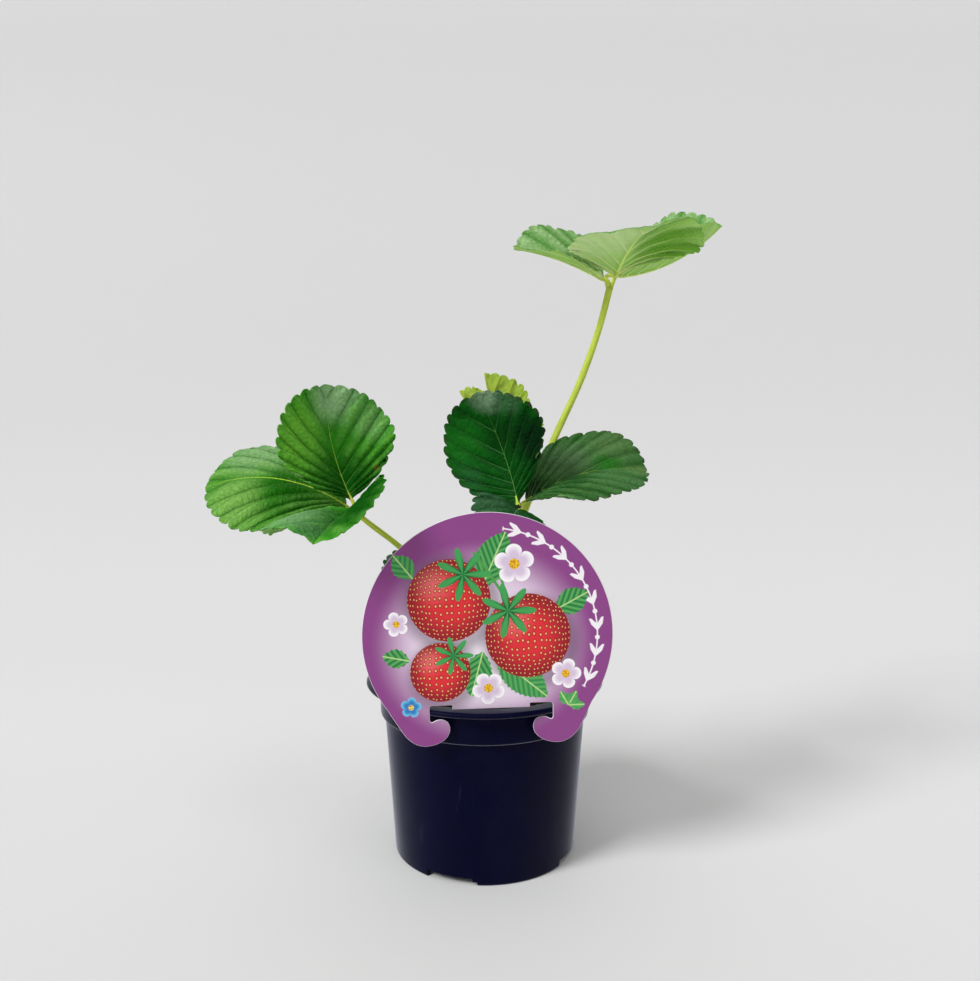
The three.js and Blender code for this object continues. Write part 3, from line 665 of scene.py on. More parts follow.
    # relief: fine veins sunk above and raised below, with a soft grain between
    sign = 1.0 if under else -1.0
    height = g.math("MAXIMUM", veins, mid * 0.6) * (0.07 * sign) + g.fall(net_mm, 0.0, 0.4) * (net * sign)
    height = height + cross * (0.09 * sign) + quilt * (-0.03 if under else 0.16) + fine * 0.03
    height = height + g.noise(g.place(), 260.0) * 0.2
    rough = g.fit(fine, 0.2, 0.8, roughness - 0.05, roughness + 0.1, smooth=False)
    return g.surface(color, rough, specular, height, subsurface_weight=subsurface,
                     subsurface_radius=(0.6, 1.0, 0.25), subsurface_scale=0.001)


def look(colors, **more):
    """One side of a leaflet: the colours of painted shade, base, light (painted as highlight on the
    swellings) and vein, with whatever else it needs.
    """
    return dict(zip(("shade_color", "base", "light", "vein"), colors.split()), **more)


LEFT = "0A4C06 389A1A 6CB646 8CC058"
DARK = "011A05 034208 0A5410 52964E"
TALL = "2E7420 74A65A A2C488 B0CE98"
TALL_UNDER = "56941E 9CCA60 BEDC8A E8F4AC"
YOUNG = look("6A8818 8CA628 A6B848 B4CC54", veins_seen=0.2, furrow=0.4, tips=0.05)
LOW = look("2A5A34 4A7A4E 6E9A70 8FB07C")

# The tints are partly the blades' own colour and partly painted light: the pale grey-green patches are
# painted sheen, and the lighter and darker halves and bases are painted light and shade.
LOOKS = {
    "left_leaf_upper": look(LEFT, rib="A8D04A", veins_seen=0.3, furrow=0.55, tips=0.25, tints=[
        (3, 46, 17, "AED4A0", 0.75), (20, 33, 13, "86B872", 0.6), (-20, 30, 20, "7ECC42", 0.85),
        (0, 28, 12, "1C7C0A", 0.4), (2, 6, 24, "015004", 0.95), (21, 14, 9, "2A7418", 0.5),
        (16.2, 10.4, 1.9, "8A7A2C", 0.8), (21.2, 12.8, 1.3, "160C08", 1.0)]),
    "left_leaf_outer": look("0E4C08 469024 78B052 92BE62", rib="C4E44C", veins_seen=0.22, furrow=0.7,
                            rib_width=0.4, tips=0.1, tints=[
        (18, 42, 22, "8EB87E", 0.75), (16, 24, 12, "649A56", 0.5), (-4, 26, 20, "126204", 0.9),
        (-9, 36, 13, "1E7608", 0.6), (-14, 48, 18, "88BA5A", 0.7)]),
    "left_leaf_lower": look(LEFT, rib="7DB04A", veins_seen=0.12, furrow=0.4, tips=0.1, tints=[
        (16, 24, 24, "7AA672", 0.8), (-16, 18, 34, "014A03", 0.97), (6, 36, 10, "548A54", 0.5)]),
    "centre_leaf_upper": look(DARK, rib="5E9A44", veins_seen=0.45, furrow=0.3, rib_width=0.15,
                              tips=0.5, tints=[
        (4, 50, 12, "82A080", 0.8), (16, 44, 10, "46704A", 0.6), (-17, 34, 17, "186C18", 0.7),
        (-20, 18, 12, "24602E", 0.6), (2, 30, 12, "032C06", 0.6), (19, 22, 18, "011F08", 0.95)]),
    "centre_leaf_outer": look("08340C 26581E 4C7A42 8CB070", rib="A8C84A", veins_seen=0.5, furrow=0.45,
                              rib_width=0.15, tips=0.4, tints=[
        (-12, 24, 16, "5A7852", 0.7), (-16, 42, 14, "5C7E4A", 0.7), (12, 40, 18, "4A7A42", 0.7),
        (8, 22, 12, "1C4A1A", 0.7), (-4, 38, 8, "1C6A10", 0.8), (3, 50, 8, "6A8A4E", 0.6),
        (-4, 6, 11, "0B3410", 0.9)]),
    "centre_leaf_lower": look(DARK, veins_seen=0.3, furrow=0.4, tips=0.4, tints=[
        (12, 14, 18, "426E4A", 0.8), (-12, 16, 12, "0E4A2A", 0.7)]),
    "tall_leaf_front": look(TALL, veins_seen=0.3, tips=0.1, tints=[(-17, 13, 9, "B0D07A", 0.9)]),
    "tall_leaf_right": look(TALL, veins_seen=0.25, furrow=0.6, tips=0.15),
    "tall_leaf_left": look(TALL, veins_seen=0.2, furrow=0.7, tips=0.15, tints=[(8, 16, 8, "2E7420", 0.6)]),
    "young_leaf": YOUNG, "low_leaf": LOW,
}
UNDERSIDE = dict(under=True, roughness=0.6, specular=0.1, vein_width=0.2, net=0.06, subsurface=0.45)
UNDER_LOOKS = {
    "left_leaf": look("5E9440 78A858 8FB870 C3D89A"),
    "centre_leaf": look("33602F 4A7A42 5E8E56 9CB98A"),
    "young_leaf": look("7A9A22 98B038 AEC252 C4D276", veins_seen=0.35, furrow=0.35, tips=0.05),
    "low_leaf": look("56804E 668F5C 7AA070 A0BC90"),
    "tall_leaf": look(TALL_UNDER, veins_seen=0.8, furrow=0.5, rib="DCF07C", tips=0.05),
    # painted light on this underside: the pale tint on one half stands for light shining through, the darker
    # tint on the other half for shade
    "tall_leaf_front": look(TALL_UNDER, veins_seen=0.75, furrow=0.75, calm=1.0, rib="DCF07C",
                            tips=0.05, tints=[
        (18, 30, 34, "D0E6A4", 0.9), (-18, 26, 24, "68A622", 0.9)]),
}
PLEATS = {"left_leaf": 0.62, "centre_leaf": 0.5, "tall_leaf": 0.55, "young_leaf": 0.5, "low_leaf": 0.4}

for i, leaf in enumerate(LEAVES):
    unders = {}
    for j, part in enumerate(leaf["leaflets"]):
        key = leaf["name"] + "_" + part["name"]
        teeth = part["teeth_a_vein"]
        look_above = LOOKS.get(key) or LOOKS[leaf["name"]]
        upper = leaf_material(key + "_upper", teeth_a_vein=teeth, length=part["length"], **look_above)
        under_key = key if key in UNDER_LOOKS else leaf["name"]
        if under_key not in unders:
            unders[under_key] = leaf_material(under_key + "_lower", teeth_a_vein=teeth, **UNDERSIDE,
                                              **UNDER_LOOKS[under_key])
        sides = upper, unders[under_key]
        piece = leaflet_piece(part, key + "_blade", 1.7 * i + 2.3 * j, *sides, PLEATS[leaf["name"]])
        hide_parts(key + "_leaflet")

# ------------------------------------------------------------------ petioles


def stem_material(name, pale, green, red):
    g = Graph(name)
    along, around, _ = g.split(g.attribute("stem"))
    streak = g.noise(g.join(around * 3.0, along * 0.05), 2.0, 3.0)
    color = g.mix(g.fit(streak, 0.3, 0.7), green, pale)
    color = g.mix(g.fall(along, 0.0, 30.0) * 0.6, color, red)
    height = streak * 0.12 + g.noise(g.place(), 1200.0) * 0.02
    return g.surface(color, 0.45, 0.35, height, subsurface_weight=0.3, subsurface_radius=(0.8, 1.0, 0.3),
                     subsurface_scale=0.0015)


HAIR = mottled("hair", 400.0, "B8CC7C", "DCE8B4", 0.5)
WITHERED = mottled("withered", 900.0, "140804", "2E1A0E", 0.8)
HAIR_RADIUS = 0.028
BUD_PLACE = np.array([14.1, -22.4, 156.6])
BUD_LUMPS = (((0, 0, 0), 1.0), ((0.8, -0.3, 0.2), 0.6), ((-0.7, -0.2, -0.3), 0.55), ((0.1, -0.4, 0.8), 0.45))
FOOT_HAIRS = {"left_leaf_outer": (7, 1.4)}  # how many a millimetre along the midrib, and how long
STEM_COLORS = {
    "left_leaf": ("C0CC4A", "98A818", "8A9024"),
    "centre_leaf": ("C8DA50", "A4BC28", "8E9A34"),
    "tall_leaf": ("D2DE5C", "AEC22C", "9CA844"),
    "young_leaf": ("B4CC60", "94B640", "8A9A40"),
    "low_leaf": ("90AA40", "6E8E28", "6A7A28"),
}


def polar(radius, degrees, z):
    a = math.radians(degrees)
    return (radius * math.cos(a), radius * math.sin(a), z)


def petiole_points(leaf):
    return [polar(SOCKET_RING, leaf["socket"], z) for z in (SOCKET_FLOOR + CLEAR, CROWN_TOP)] + leaf["path"]


def hairs(centres, radii, rng, per_mm, length):
    """Short fine hairs that stand off a stalk, each a thin three-sided spike."""
    tangents, normals, others = frames_along(centres)
    run = np.concatenate([[0], np.cumsum(np.linalg.norm(np.diff(centres, axis=0), axis=1))])
    points, faces = [], []
    for start in range(0, 4 * int(run[-1] * per_mm), 4):
        at = rng.uniform(0, run[-1])
        i = min(int(np.searchsorted(run, at)), len(centres) - 1)
        angle = rng.uniform(0, 2 * np.pi)
        out = normals[i] * math.cos(angle) + others[i] * math.sin(angle)
        root = centres[i] + out * radii[i] * 0.9 + tangents[i] * rng.uniform(-0.3, 0.3)
        way = unit(out + tangents[i] * rng.normal(0.1, 0.35) + rng.normal(0, 0.15, 3))
        end = root + way * length * rng.uniform(0.6, 1.25)
        side = unit(np.cross(way, tangents[i])) * HAIR_RADIUS
        other = np.cross(way, side) * 0.87
        points += [root + side, root - side * 0.5 + other, root - side * 0.5 - other, end]
        faces += [tuple(start + k for k in face) for face in ((0, 1, 3), (1, 2, 3), (2, 0, 3), (2, 1, 0))]
    return np.array(points), faces


def withered_bud(rng):
    """A dried lump, a few crumpled scales, where the centre leaf's stalks part."""
    points, faces = [], []
    for offset, size in BUD_LUMPS:
        local = BLOB * (1 + rng.normal(0, 0.14, (len(BLOB), 1))) * size * np.array([1, 0.8, 0.85])
        faces += [tuple(i + len(points) for i in f) for f in BLOB_FACES]
        points += list(local + BUD_PLACE + offset)
    return np.array(points), faces


def petiole_piece(leaf, seed):
    rng = np.random.default_rng(seed)
    centres, length = catmull(petiole_points(leaf), 150)
    share = np.linspace(0, 1, len(centres))
    foot_radius, fork_radius = leaf["radii"]
    radii = foot_radius + (fork_radius - foot_radius) * share
    radii = radii + 0.03 * np.sin(share * 40 + seed) + 0.12 * np.exp(-(((share - 1) / 0.02) ** 2))
    angle = circle(14)
    ridges = 1 + 0.03 * np.cos(3 * angle) - 0.06 * np.exp(-(((angle - np.pi) / 0.5) ** 2))
    along, around = np.meshgrid(share * length, angle, indexing="ij")
    values = np.stack([along.ravel(), around.ravel(), np.zeros(along.size)], 1)
    parts = [(*tube(centres, radii[:, None] * ridges, 14), 0, values),
             (*hairs(centres[12:], radii[12:], rng, 5, 0.8), 1, (0, 0, 0))]
    fork = centres[-1]
    back = unit(centres[-6] - fork)
    for part in leaf["leaflets"]:
        rib = midrib_of(part)
        end = np.array(part["base"], float)
        bend = end - rib[1][0] * 0.4 * np.linalg.norm(end - fork)
        into = [rib[0][k] - rib[2][k] * sunk for k, sunk in ((1, 0.3), (2, 0.35))]
        line, _ = catmull([fork + back * 1.6, bend, end, *into], 26)
        u = np.linspace(0, 1, len(line))
        r = fork_radius * (0.84 - 0.16 * np.sin(np.pi * u) - 0.26 * u**3)
        parts.append((*tube(line, r, 12), 0, (length, 1.0, 0)))
        parts.append((*hairs(line[4:-4], r[4:-4], rng, 6, 0.6), 1, (0, 0, 0)))
        # longer hairs stand along the foot of the midrib
        y = np.linspace(0.5, 0.42 * part["length"], 40)
        foot = on_blade(part, rib, 1, 0 * y, y, 0 * y)
        many, long = FOOT_HAIRS.get(leaf["name"] + "_" + part["name"], (2, 0.7))
        parts.append((*hairs(foot, np.full(len(foot), 0.2), rng, many, long), 1, (0, 0, 0)))
    if leaf["name"] == "centre_leaf":
        parts.append((*withered_bud(rng), 2, (0, 0, 0)))
    points, faces, mats, values = joined(parts)
    stem = stem_material(leaf["name"] + "_stem", *STEM_COLORS[leaf["name"]])
    piece = make_piece(leaf["name"] + "_stalk", points, faces, [stem, HAIR, WITHERED], mats, {"stem": values})
    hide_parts(leaf["name"] + "_petiole")


for i, leaf in enumerate(LEAVES):
    petiole_piece(leaf, 11 + i)

# ------------------------------------------------------------------ pot


def rounded(profile, radius, steps=5):
    """The same profile of (r, z) points with each corner cut to a small arc."""
    out = [profile[0]]
    for before, corner, after in zip(profile, profile[1:], profile[2:]):
        a, c, b = (np.array(v, float) for v in (before, corner, after))
        into, away = a - c, b - c
        cut = min(radius, 0.45 * np.linalg.norm(into), 0.45 * np.linalg.norm(away))
        p, q = c + unit(into) * cut, c + unit(away) * cut
        for w in np.linspace(0, 1, steps):
            out.append(tuple((1 - w) ** 2 * p + 2 * w * (1 - w) * c + w * w * q))
    out.append(profile[-1])
    return np.array(out)


def wall_radius(z):
    return FOOT_RADIUS + (TAPER_TOP_RADIUS - FOOT_RADIUS) * z / LEDGE_HEIGHT


NOTCHES = [-90 + NOTCH_FIRST + 90 * i for i in range(4)]  # the middle of each, in degrees


def notch_height(degrees):
    """How high the foot is cut away at an angle: four arches, each with a low step at one end."""
    at = (degrees - NOTCHES[0] + 45) % 90 - 45
    if abs(at) < NOTCH_SPAN / 2:
        return FOOT_HEIGHT
    return NOTCH_STEP_HEIGHT if NOTCH_SPAN / 2 <= at < NOTCH_SPAN / 2 + NOTCH_STEP_SPAN else 0


def pot_mesh():
    inner = RIM_RADIUS - 7.5
    outer = [(0, 0), (PAD_RADIUS, 0), (PAD_RADIUS + 1.5, FOOT_HEIGHT), (37.6, FOOT_HEIGHT), (38.2, 0),
             (39.8, 0),
             (FOOT_RADIUS, 0.6), (wall_radius(62), 62), (BAND_RADIUS - 0.2, LEDGE_HEIGHT), (BAND_RADIUS, 64),
             (BAND_RADIUS, 75), (47, 75.6), (RIM_RADIUS - 0.8, 75.6), (RIM_RADIUS, 76.4), (RIM_RADIUS, 77.2),
             (RIM_RADIUS - 0.8, RIM_TOP), (inner + 1, RIM_TOP), (inner + 0.2, 77.2), (inner, 63.8),
             (wall_radius(62) - WALL, 61.6), (wall_radius(4.7) - WALL, 5.3),
             (wall_radius(4.7) - WALL - 0.6, 4.7),
             (PAD_RADIUS + 0.2, 4.7), (PAD_RADIUS - 1.2, 1.5), (0, 1.5)]
    fine = rounded(outer, 0.35)
    # extra rings along the tall wall, so that its shading is even
    rows = [fine[0]]
    for a, b in zip(fine, fine[1:]):
        pieces = max(1, int(np.linalg.norm(b - a) // 4))
        rows += [a + (b - a) * k / pieces for k in range(1, pieces + 1)]
    rows = np.array(rows)[1:-1]
    edges = {(mid + e) % 360 for mid in NOTCHES
             for e in (-NOTCH_SPAN / 2, NOTCH_SPAN / 2, NOTCH_SPAN / 2 + NOTCH_STEP_SPAN)}
    columns = []
    for a in sorted(set(np.round(np.linspace(0, 360, 240, endpoint=False), 4)) | edges):
        before, after = notch_height(a - 0.01), notch_height(a + 0.01)
        columns += [(a, before)] if before == after else [(a, before), (a, after)]
    points = []
    for a, height in columns:
        for r, z in rows:
            cut = height if r > 37 and z < height else z
            points.append(polar(wall_radius(cut) if r > 39.9 and z < height else r, a, cut))
    n, m = len(rows), len(columns)
    bottom, top = len(points), len(points) + 1
    points += [(0, 0, 0), (0, 0, 1.5)]
    faces = []
    for i in range(m):
        k = (i + 1) % m
        faces += [(i * n + j, k * n + j, k * n + j + 1, i * n + j + 1) for j in range(n - 1)]
        faces += [(bottom, k * n, i * n), (top, i * n + n - 1, k * n + n - 1)]
    return points, faces


def pot_material():
    g = Graph("pot_plastic")
    where = g.place()
    mottle = g.noise(where, 45.0, 3.0, 0.6)
    fine = g.noise(where, 900.0, 3.0, 0.6)
    scuff = g.fit(g.noise(where, 260.0, stretch=(1.0, 1.0, 0.12)), 0.66, 0.74)
    dust = g.fit(g.noise(where, 30.0, 4.0, 0.7), 0.45, 0.75) * 0.5
    color = g.mix(mottle, "00001C", "010226")
    color = g.mix(scuff * 0.06, color, "50506A")
    color = g.mix(dust * 0.02, color, "6A6A78")
    rough = g.fit(mottle, 0.3, 0.7, 0.33, 0.42, smooth=False)
    return g.surface(color, rough, 0.05, fine * 0.02 + scuff * 0.015,
                     sheen_weight=1.0, sheen_roughness=0.28, sheen_tint=(0.8, 0.82, 0.95, 1))


pot = make_piece("nursery_pot", *pot_mesh(), [pot_material()])
shell = bmesh.new()
shell.from_mesh(pot.data)
bmesh.ops.remove_doubles(shell, verts=shell.verts, dist=1e-6)
bmesh.ops.recalc_face_normals(shell, faces=shell.faces)
shell.to_mesh(pot.data)
shell.free()
drills = bpy.data.meshes.new("drills")
tool = bmesh.new()
for degrees in NOTCHES:
    place = Matrix.Translation(Vector(polar(DRAIN_RING, degrees, 4)) * MM)
    size = dict(radius1=DRAIN_RADIUS * MM, radius2=DRAIN_RADIUS * MM, depth=4 * MM)
    bmesh.ops.create_cone(tool, cap_ends=True, segments=32, matrix=place, **size)
tool.to_mesh(drills)
tool.free()
drill_object = bpy.data.objects.new("drills", drills)
scene.collection.objects.link(drill_object)
cut = pot.modifiers.new("drain_holes", "BOOLEAN")
cut.object = drill_object
cut.operation = "DIFFERENCE"
cut.solver = "EXACT"
bpy.context.view_layer.update()
holed = bpy.data.meshes.new_from_object(pot.evaluated_get(bpy.context.evaluated_depsgraph_get()))
pot.modifiers.clear()
pot.data = holed
holed.set_sharp_from_angle(angle=math.radians(35))
bpy.data.objects.remove(drill_object)
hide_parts("pot")

# ------------------------------------------------------------------ soil

HOLE_RADIUS, HOLE_FLOOR = 6.35, 57.7  # the hole that the crown stands in
SOIL_MATERIALS = (("peat", "17100B", "33241A", 0.95), ("bark", "2E1D12", "5A4028", 0.85),
                  ("perlite", "C9C4B8", "E6E2D8", 0.9))
PEAT, BARK, PERLITE = range(3)


def soil_height(x, y):
    r = np.hypot(x, y)
    base = np.interp(r, [0, 6.3, 16, 30, 45], [72.4, 72.4, 72, 71.2, 70.5])
    bumps = ((0.7, 14), (0.55, 6), (0.4, 2.6), (0.25, 1.3))
    rough = sum(height * waves(x, y, size, seed + 1) for seed, (height, size) in enumerate(bumps))
    calm = np.clip((r - 8) / 5, 0, 1) * np.clip((46 - r) / 2, 0, 1)
    return base + 0.9 * rough * calm


def ring(radius, angles, z):
    return np.stack([radius * np.cos(angles), radius * np.sin(angles), np.full(len(angles), z)], 1)


def soil_body():
    """The crumbly top, the side under it down the pot, and the crown's hole."""
    rings, sides = 74, 220
    angle = circle(sides)
    R, A = np.meshgrid(np.linspace(HOLE_RADIUS, BAND_RADIUS - 1.7, rings), angle, indexing="ij")
    A = A + (np.arange(rings) % 2)[:, None] * np.pi / sides
    X, Y = R * np.cos(A), R * np.sin(A)
    top = np.stack([X, Y, soil_height(X, Y)], -1).reshape(-1, 3)
    gap = WALL + CLEAR
    side = [(BAND_RADIUS - 1.7, 64.2), (wall_radius(61.4) - gap, 61.4), (wall_radius(5.2) - gap, 5.4),
            (9.6, 5.0), (7.4, 1.9), (HOLE_RADIUS, HOLE_FLOOR)]
    points = np.vstack([top] + [ring(r, angle, z) for r, z in side] + [[[0, 0, 1.9], [0, 0, HOLE_FLOOR]]])
    count = rings + len(side) - 1
    faces = [(a, d, c, b) for a, b, c, d in bands(count, sides)]
    last, pit = (count - 1) * sides, count * sides
    under, floor_of_pit = pit + sides, pit + sides + 1
    for j in range(sides):
        k = (j + 1) % sides
        faces += [(last + j, under, last + k), (j, k, pit + k, pit + j), (pit + j, pit + k, floor_of_pit)]
    return points, faces


def soil_piece():
    parts = [(*soil_body(), PEAT, (0, 0, 0))]
    rng = np.random.default_rng(5)

    def spot(reach=43):
        return reach * rng.uniform(0.05, 1) ** 0.5

    # crumbs of peat, chips of bark, and a few white grains
    for kind, number, size in ((PEAT, 900, (0.5, 1.3)), (BARK, 90, (1.0, 2.6)), (PERLITE, 70, (0.6, 1.4))):
        for _ in range(number):
            x, y, _ = polar(max(9, spot()), math.degrees(rng.uniform(0, 2 * np.pi)), 0)
            s = rng.uniform(*size)
            flatness = 0.5 if kind == BARK else 1
            stretch = np.array([s, s * rng.uniform(0.5, 0.9), s * rng.uniform(0.3, 0.6) * flatness])
            local = BLOB * (1 + rng.normal(0, 0.16, (len(BLOB), 1))) * stretch
            turned = Matrix.Rotation(rng.uniform(0, 6.3), 3, Vector(rng.normal(0, 1, 3) + (0, 0, 2)))
            z = float(soil_height(np.array(x), np.array(y))) + 0.15 * s
            parts.append((local @ np.array(turned).T + (x, y, z), BLOB_FACES, kind, rng.uniform(0, 1, 3)))
    # fibres
    steps = np.linspace(0, 1, 7)
    for _ in range(150):
        r, a, way = max(10, spot(40)), rng.uniform(0, 2 * np.pi), rng.uniform(0, 2 * np.pi)
        length, bend = rng.uniform(3, 9), rng.normal(0, 0.25)
        x = r * math.cos(a) + np.cumsum(np.cos(way + bend * steps * 5)) * length / 7
        y = r * math.sin(a) + np.cumsum(np.sin(way + bend * steps * 5)) * length / 7
        inside = np.hypot(x, y) < 44
        if inside.sum() >= 4:
            line = np.stack([x, y, soil_height(x, y) + 0.25 + 0.5 * np.sin(np.pi * steps)], 1)[inside]
            parts.append((*tube(line, rng.uniform(0.07, 0.16), 5), BARK, rng.uniform(0, 1, 3)))
    points, faces, mats, values = joined(parts)
    looks = []
    for name, dark, light, rough in SOIL_MATERIALS:
        g = Graph(name)
        tone = g.split(g.attribute("grain"))[0]
        grain = g.noise(g.place(), 700.0, 4.0, 0.7)
        looks.append(g.surface(g.mix(grain * 0.6 + tone * 0.5, dark, light), rough, 0.2, grain * 0.25))
    piece = make_piece("potting_soil", points, faces, looks, mats, {"grain": values})
    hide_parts("growing_medium")


soil_piece()

# ------------------------------------------------------------------ crown

CROWN_PROFILE = [(0, 58), (4.5, 58), (6, 61), (6, 73), (7.8, 78), (7.2, 82), (4, 86), (0, 86)]
CROWN_MATERIALS = (("crown_bark", "3A2A18", "7A6238", 220.0), ("stipule", "8A5A48", "C8B48A", 160.0))


def crown_piece():
    sides = 40
    profile = rounded(CROWN_PROFILE, 1.2)[1:-1]
    rings = []
    for a, b in zip(profile, profile[1:]):
        n = max(1, int(np.linalg.norm(b - a) / 0.7))
        rings += [a + (b - a) * k / n for k in range(n)]
    rings = np.array(rings + [profile[-1]])
    R, A = np.meshgrid(rings[:, 0], circle(sides), indexing="ij")
    Z = np.broadcast_to(rings[:, 1:2], R.shape)
    scale = np.clip((Z - 73.5) / 2, 0, 1)
    bumpy = waves(A * 5, Z, 2.4, 21) * 0.3 + 0.35 * np.sin(Z * 2.6 + 1.4 * np.sin(A * 3)) * scale
    R = R + (bumpy - 0.35) * scale
    points = np.stack([R * np.cos(A), R * np.sin(A), Z], -1).reshape(-1, 3)
    parts = [(points, bands(len(rings), sides) + ends(len(rings), sides), 0, (0, 0, 0))]
    # the papery sheath at the foot of every petiole, split open at its top
    for i, leaf in enumerate(LEAVES):
        line, _ = catmull(petiole_points(leaf), 150)
        near = line[(line[:, 2] > 80) & (line[:, 2] < SHEATH_TOP)]
        w = np.linspace(0, 1, len(near))[:, None]
        radii = leaf["radii"][0] + 0.25 + 1.45 * (1 - w) ** 0.8 + 0.12 * np.sin(5 * circle(18) + i)
        parts.append((*tube(near, radii, 18), 1, (0, 0, 0)))
        tangents, normals, others = (a[-4:] for a in frames_along(near))
        for side in (-1, 1):
            tip = near[-4:] + (normals * side + others * 0.4) + tangents * np.linspace(0, 2.6, 4)[:, None]
            parts.append((*tube(tip, [0.75, 0.65, 0.4, 0.08], 8), 1, (0, 0, 0)))
    points, faces, mats, values = joined(parts)
    looks = []
    for name, dark, light, scale_of in CROWN_MATERIALS:
        g = Graph(name)
        streak = g.noise(g.place(), scale_of, 3.0, 0.6, stretch=(1.0, 1.0, 0.25))
        looks.append(g.surface(g.mix(g.fit(streak, 0.3, 0.7), dark, light), 0.7, 0.25, streak * 0.2))
    piece = make_piece("crown_stub", points, faces, looks, mats, {"grain": values})
    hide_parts("crown")


crown_piece()

# ------------------------------------------------------------------ label

HEAD_RADIUS, HEAD_CENTRE_Z, HEAD_SHIFT = 49.8, 108, -0.8
TONGUE_HALF_WIDTH, TONGUE_END, SLOT_TOP, SLOT_REACH = 15.5, -29.4, -27.6, 24.7
LABEL_THICKNESS, LABEL_OFFSET, LABEL_YAW, LABEL_ROLL = 0.6, 46.8, 3, 1


def bezier(*controls, steps=14):
    w = np.linspace(0, 1, steps + 1)[1:, None]
    p = [np.array(c, float) for c in controls]
    if len(p) == 3:
        return (1 - w) ** 2 * p[0] + 2 * w * (1 - w) * p[1] + w * w * p[2]
    return (1 - w) ** 3 * p[0] + 3 * w * (1 - w) ** 2 * p[1] + 3 * w * w * (1 - w) * p[2] + w**3 * p[3]


def label_half(shift):
    """The right half of the label's outline, up from the middle of the tongue to the head's top."""
    reach = SLOT_REACH
    pieces = [
        [(0, TONGUE_END), (TONGUE_HALF_WIDTH, TONGUE_END), (TONGUE_HALF_WIDTH, SLOT_TOP),
         (reach - 1.2, SLOT_TOP)],
        bezier((reach - 1.2, SLOT_TOP), (reach, SLOT_TOP), (reach, SLOT_TOP - 1.2), steps=6),
        [(reach, -33.6)],
        bezier((reach, -33.6), (24.4, -34.8), (23.2, -34.2), steps=6),
        bezier((23.2, -34.2), (20.4, -32.4), (17.8, -34.3)),
        bezier((17.8, -34.3), (14.9, -37.2), (17.2, -44), (26.6, -44.3), steps=24),
        bezier((26.6, -44.3), (31.6, -44.2), (35.4, -38.6)),
    ]
    arc = np.radians(np.linspace(-34, 90, 90))
    pieces.append(np.stack([shift + HEAD_RADIUS * np.cos(arc), HEAD_RADIUS * np.sin(arc)], 1))
    return np.vstack(pieces)


def label_outline():
    right = label_half(HEAD_SHIFT)
    left = label_half(-HEAD_SHIFT) * (-1, 1)
    line = np.vstack([right[:-1], left[::-1][:-1]])
    keep = np.linalg.norm(line - np.roll(line, 1, axis=0), axis=1) > 1e-3
    return line[keep]


def inset(line, distance):
    """The closed line moved inwards; it runs anticlockwise."""
    before, after = np.roll(line, 1, axis=0), np.roll(line, -1, axis=0)
    way = (line - before) / np.linalg.norm(line - before, axis=1)[:, None]
    onward = (after - line) / np.linalg.norm(after - line, axis=1)[:, None]
    n = np.stack([-(way + onward)[:, 1], (way + onward)[:, 0]], 1)
    n /= np.linalg.norm(n, axis=1)[:, None]
    spread = np.clip(np.abs(n[:, 0] * -way[:, 1] + n[:, 1] * way[:, 0]), 0.5, 1)
    return line + n * (distance / spread)[:, None]


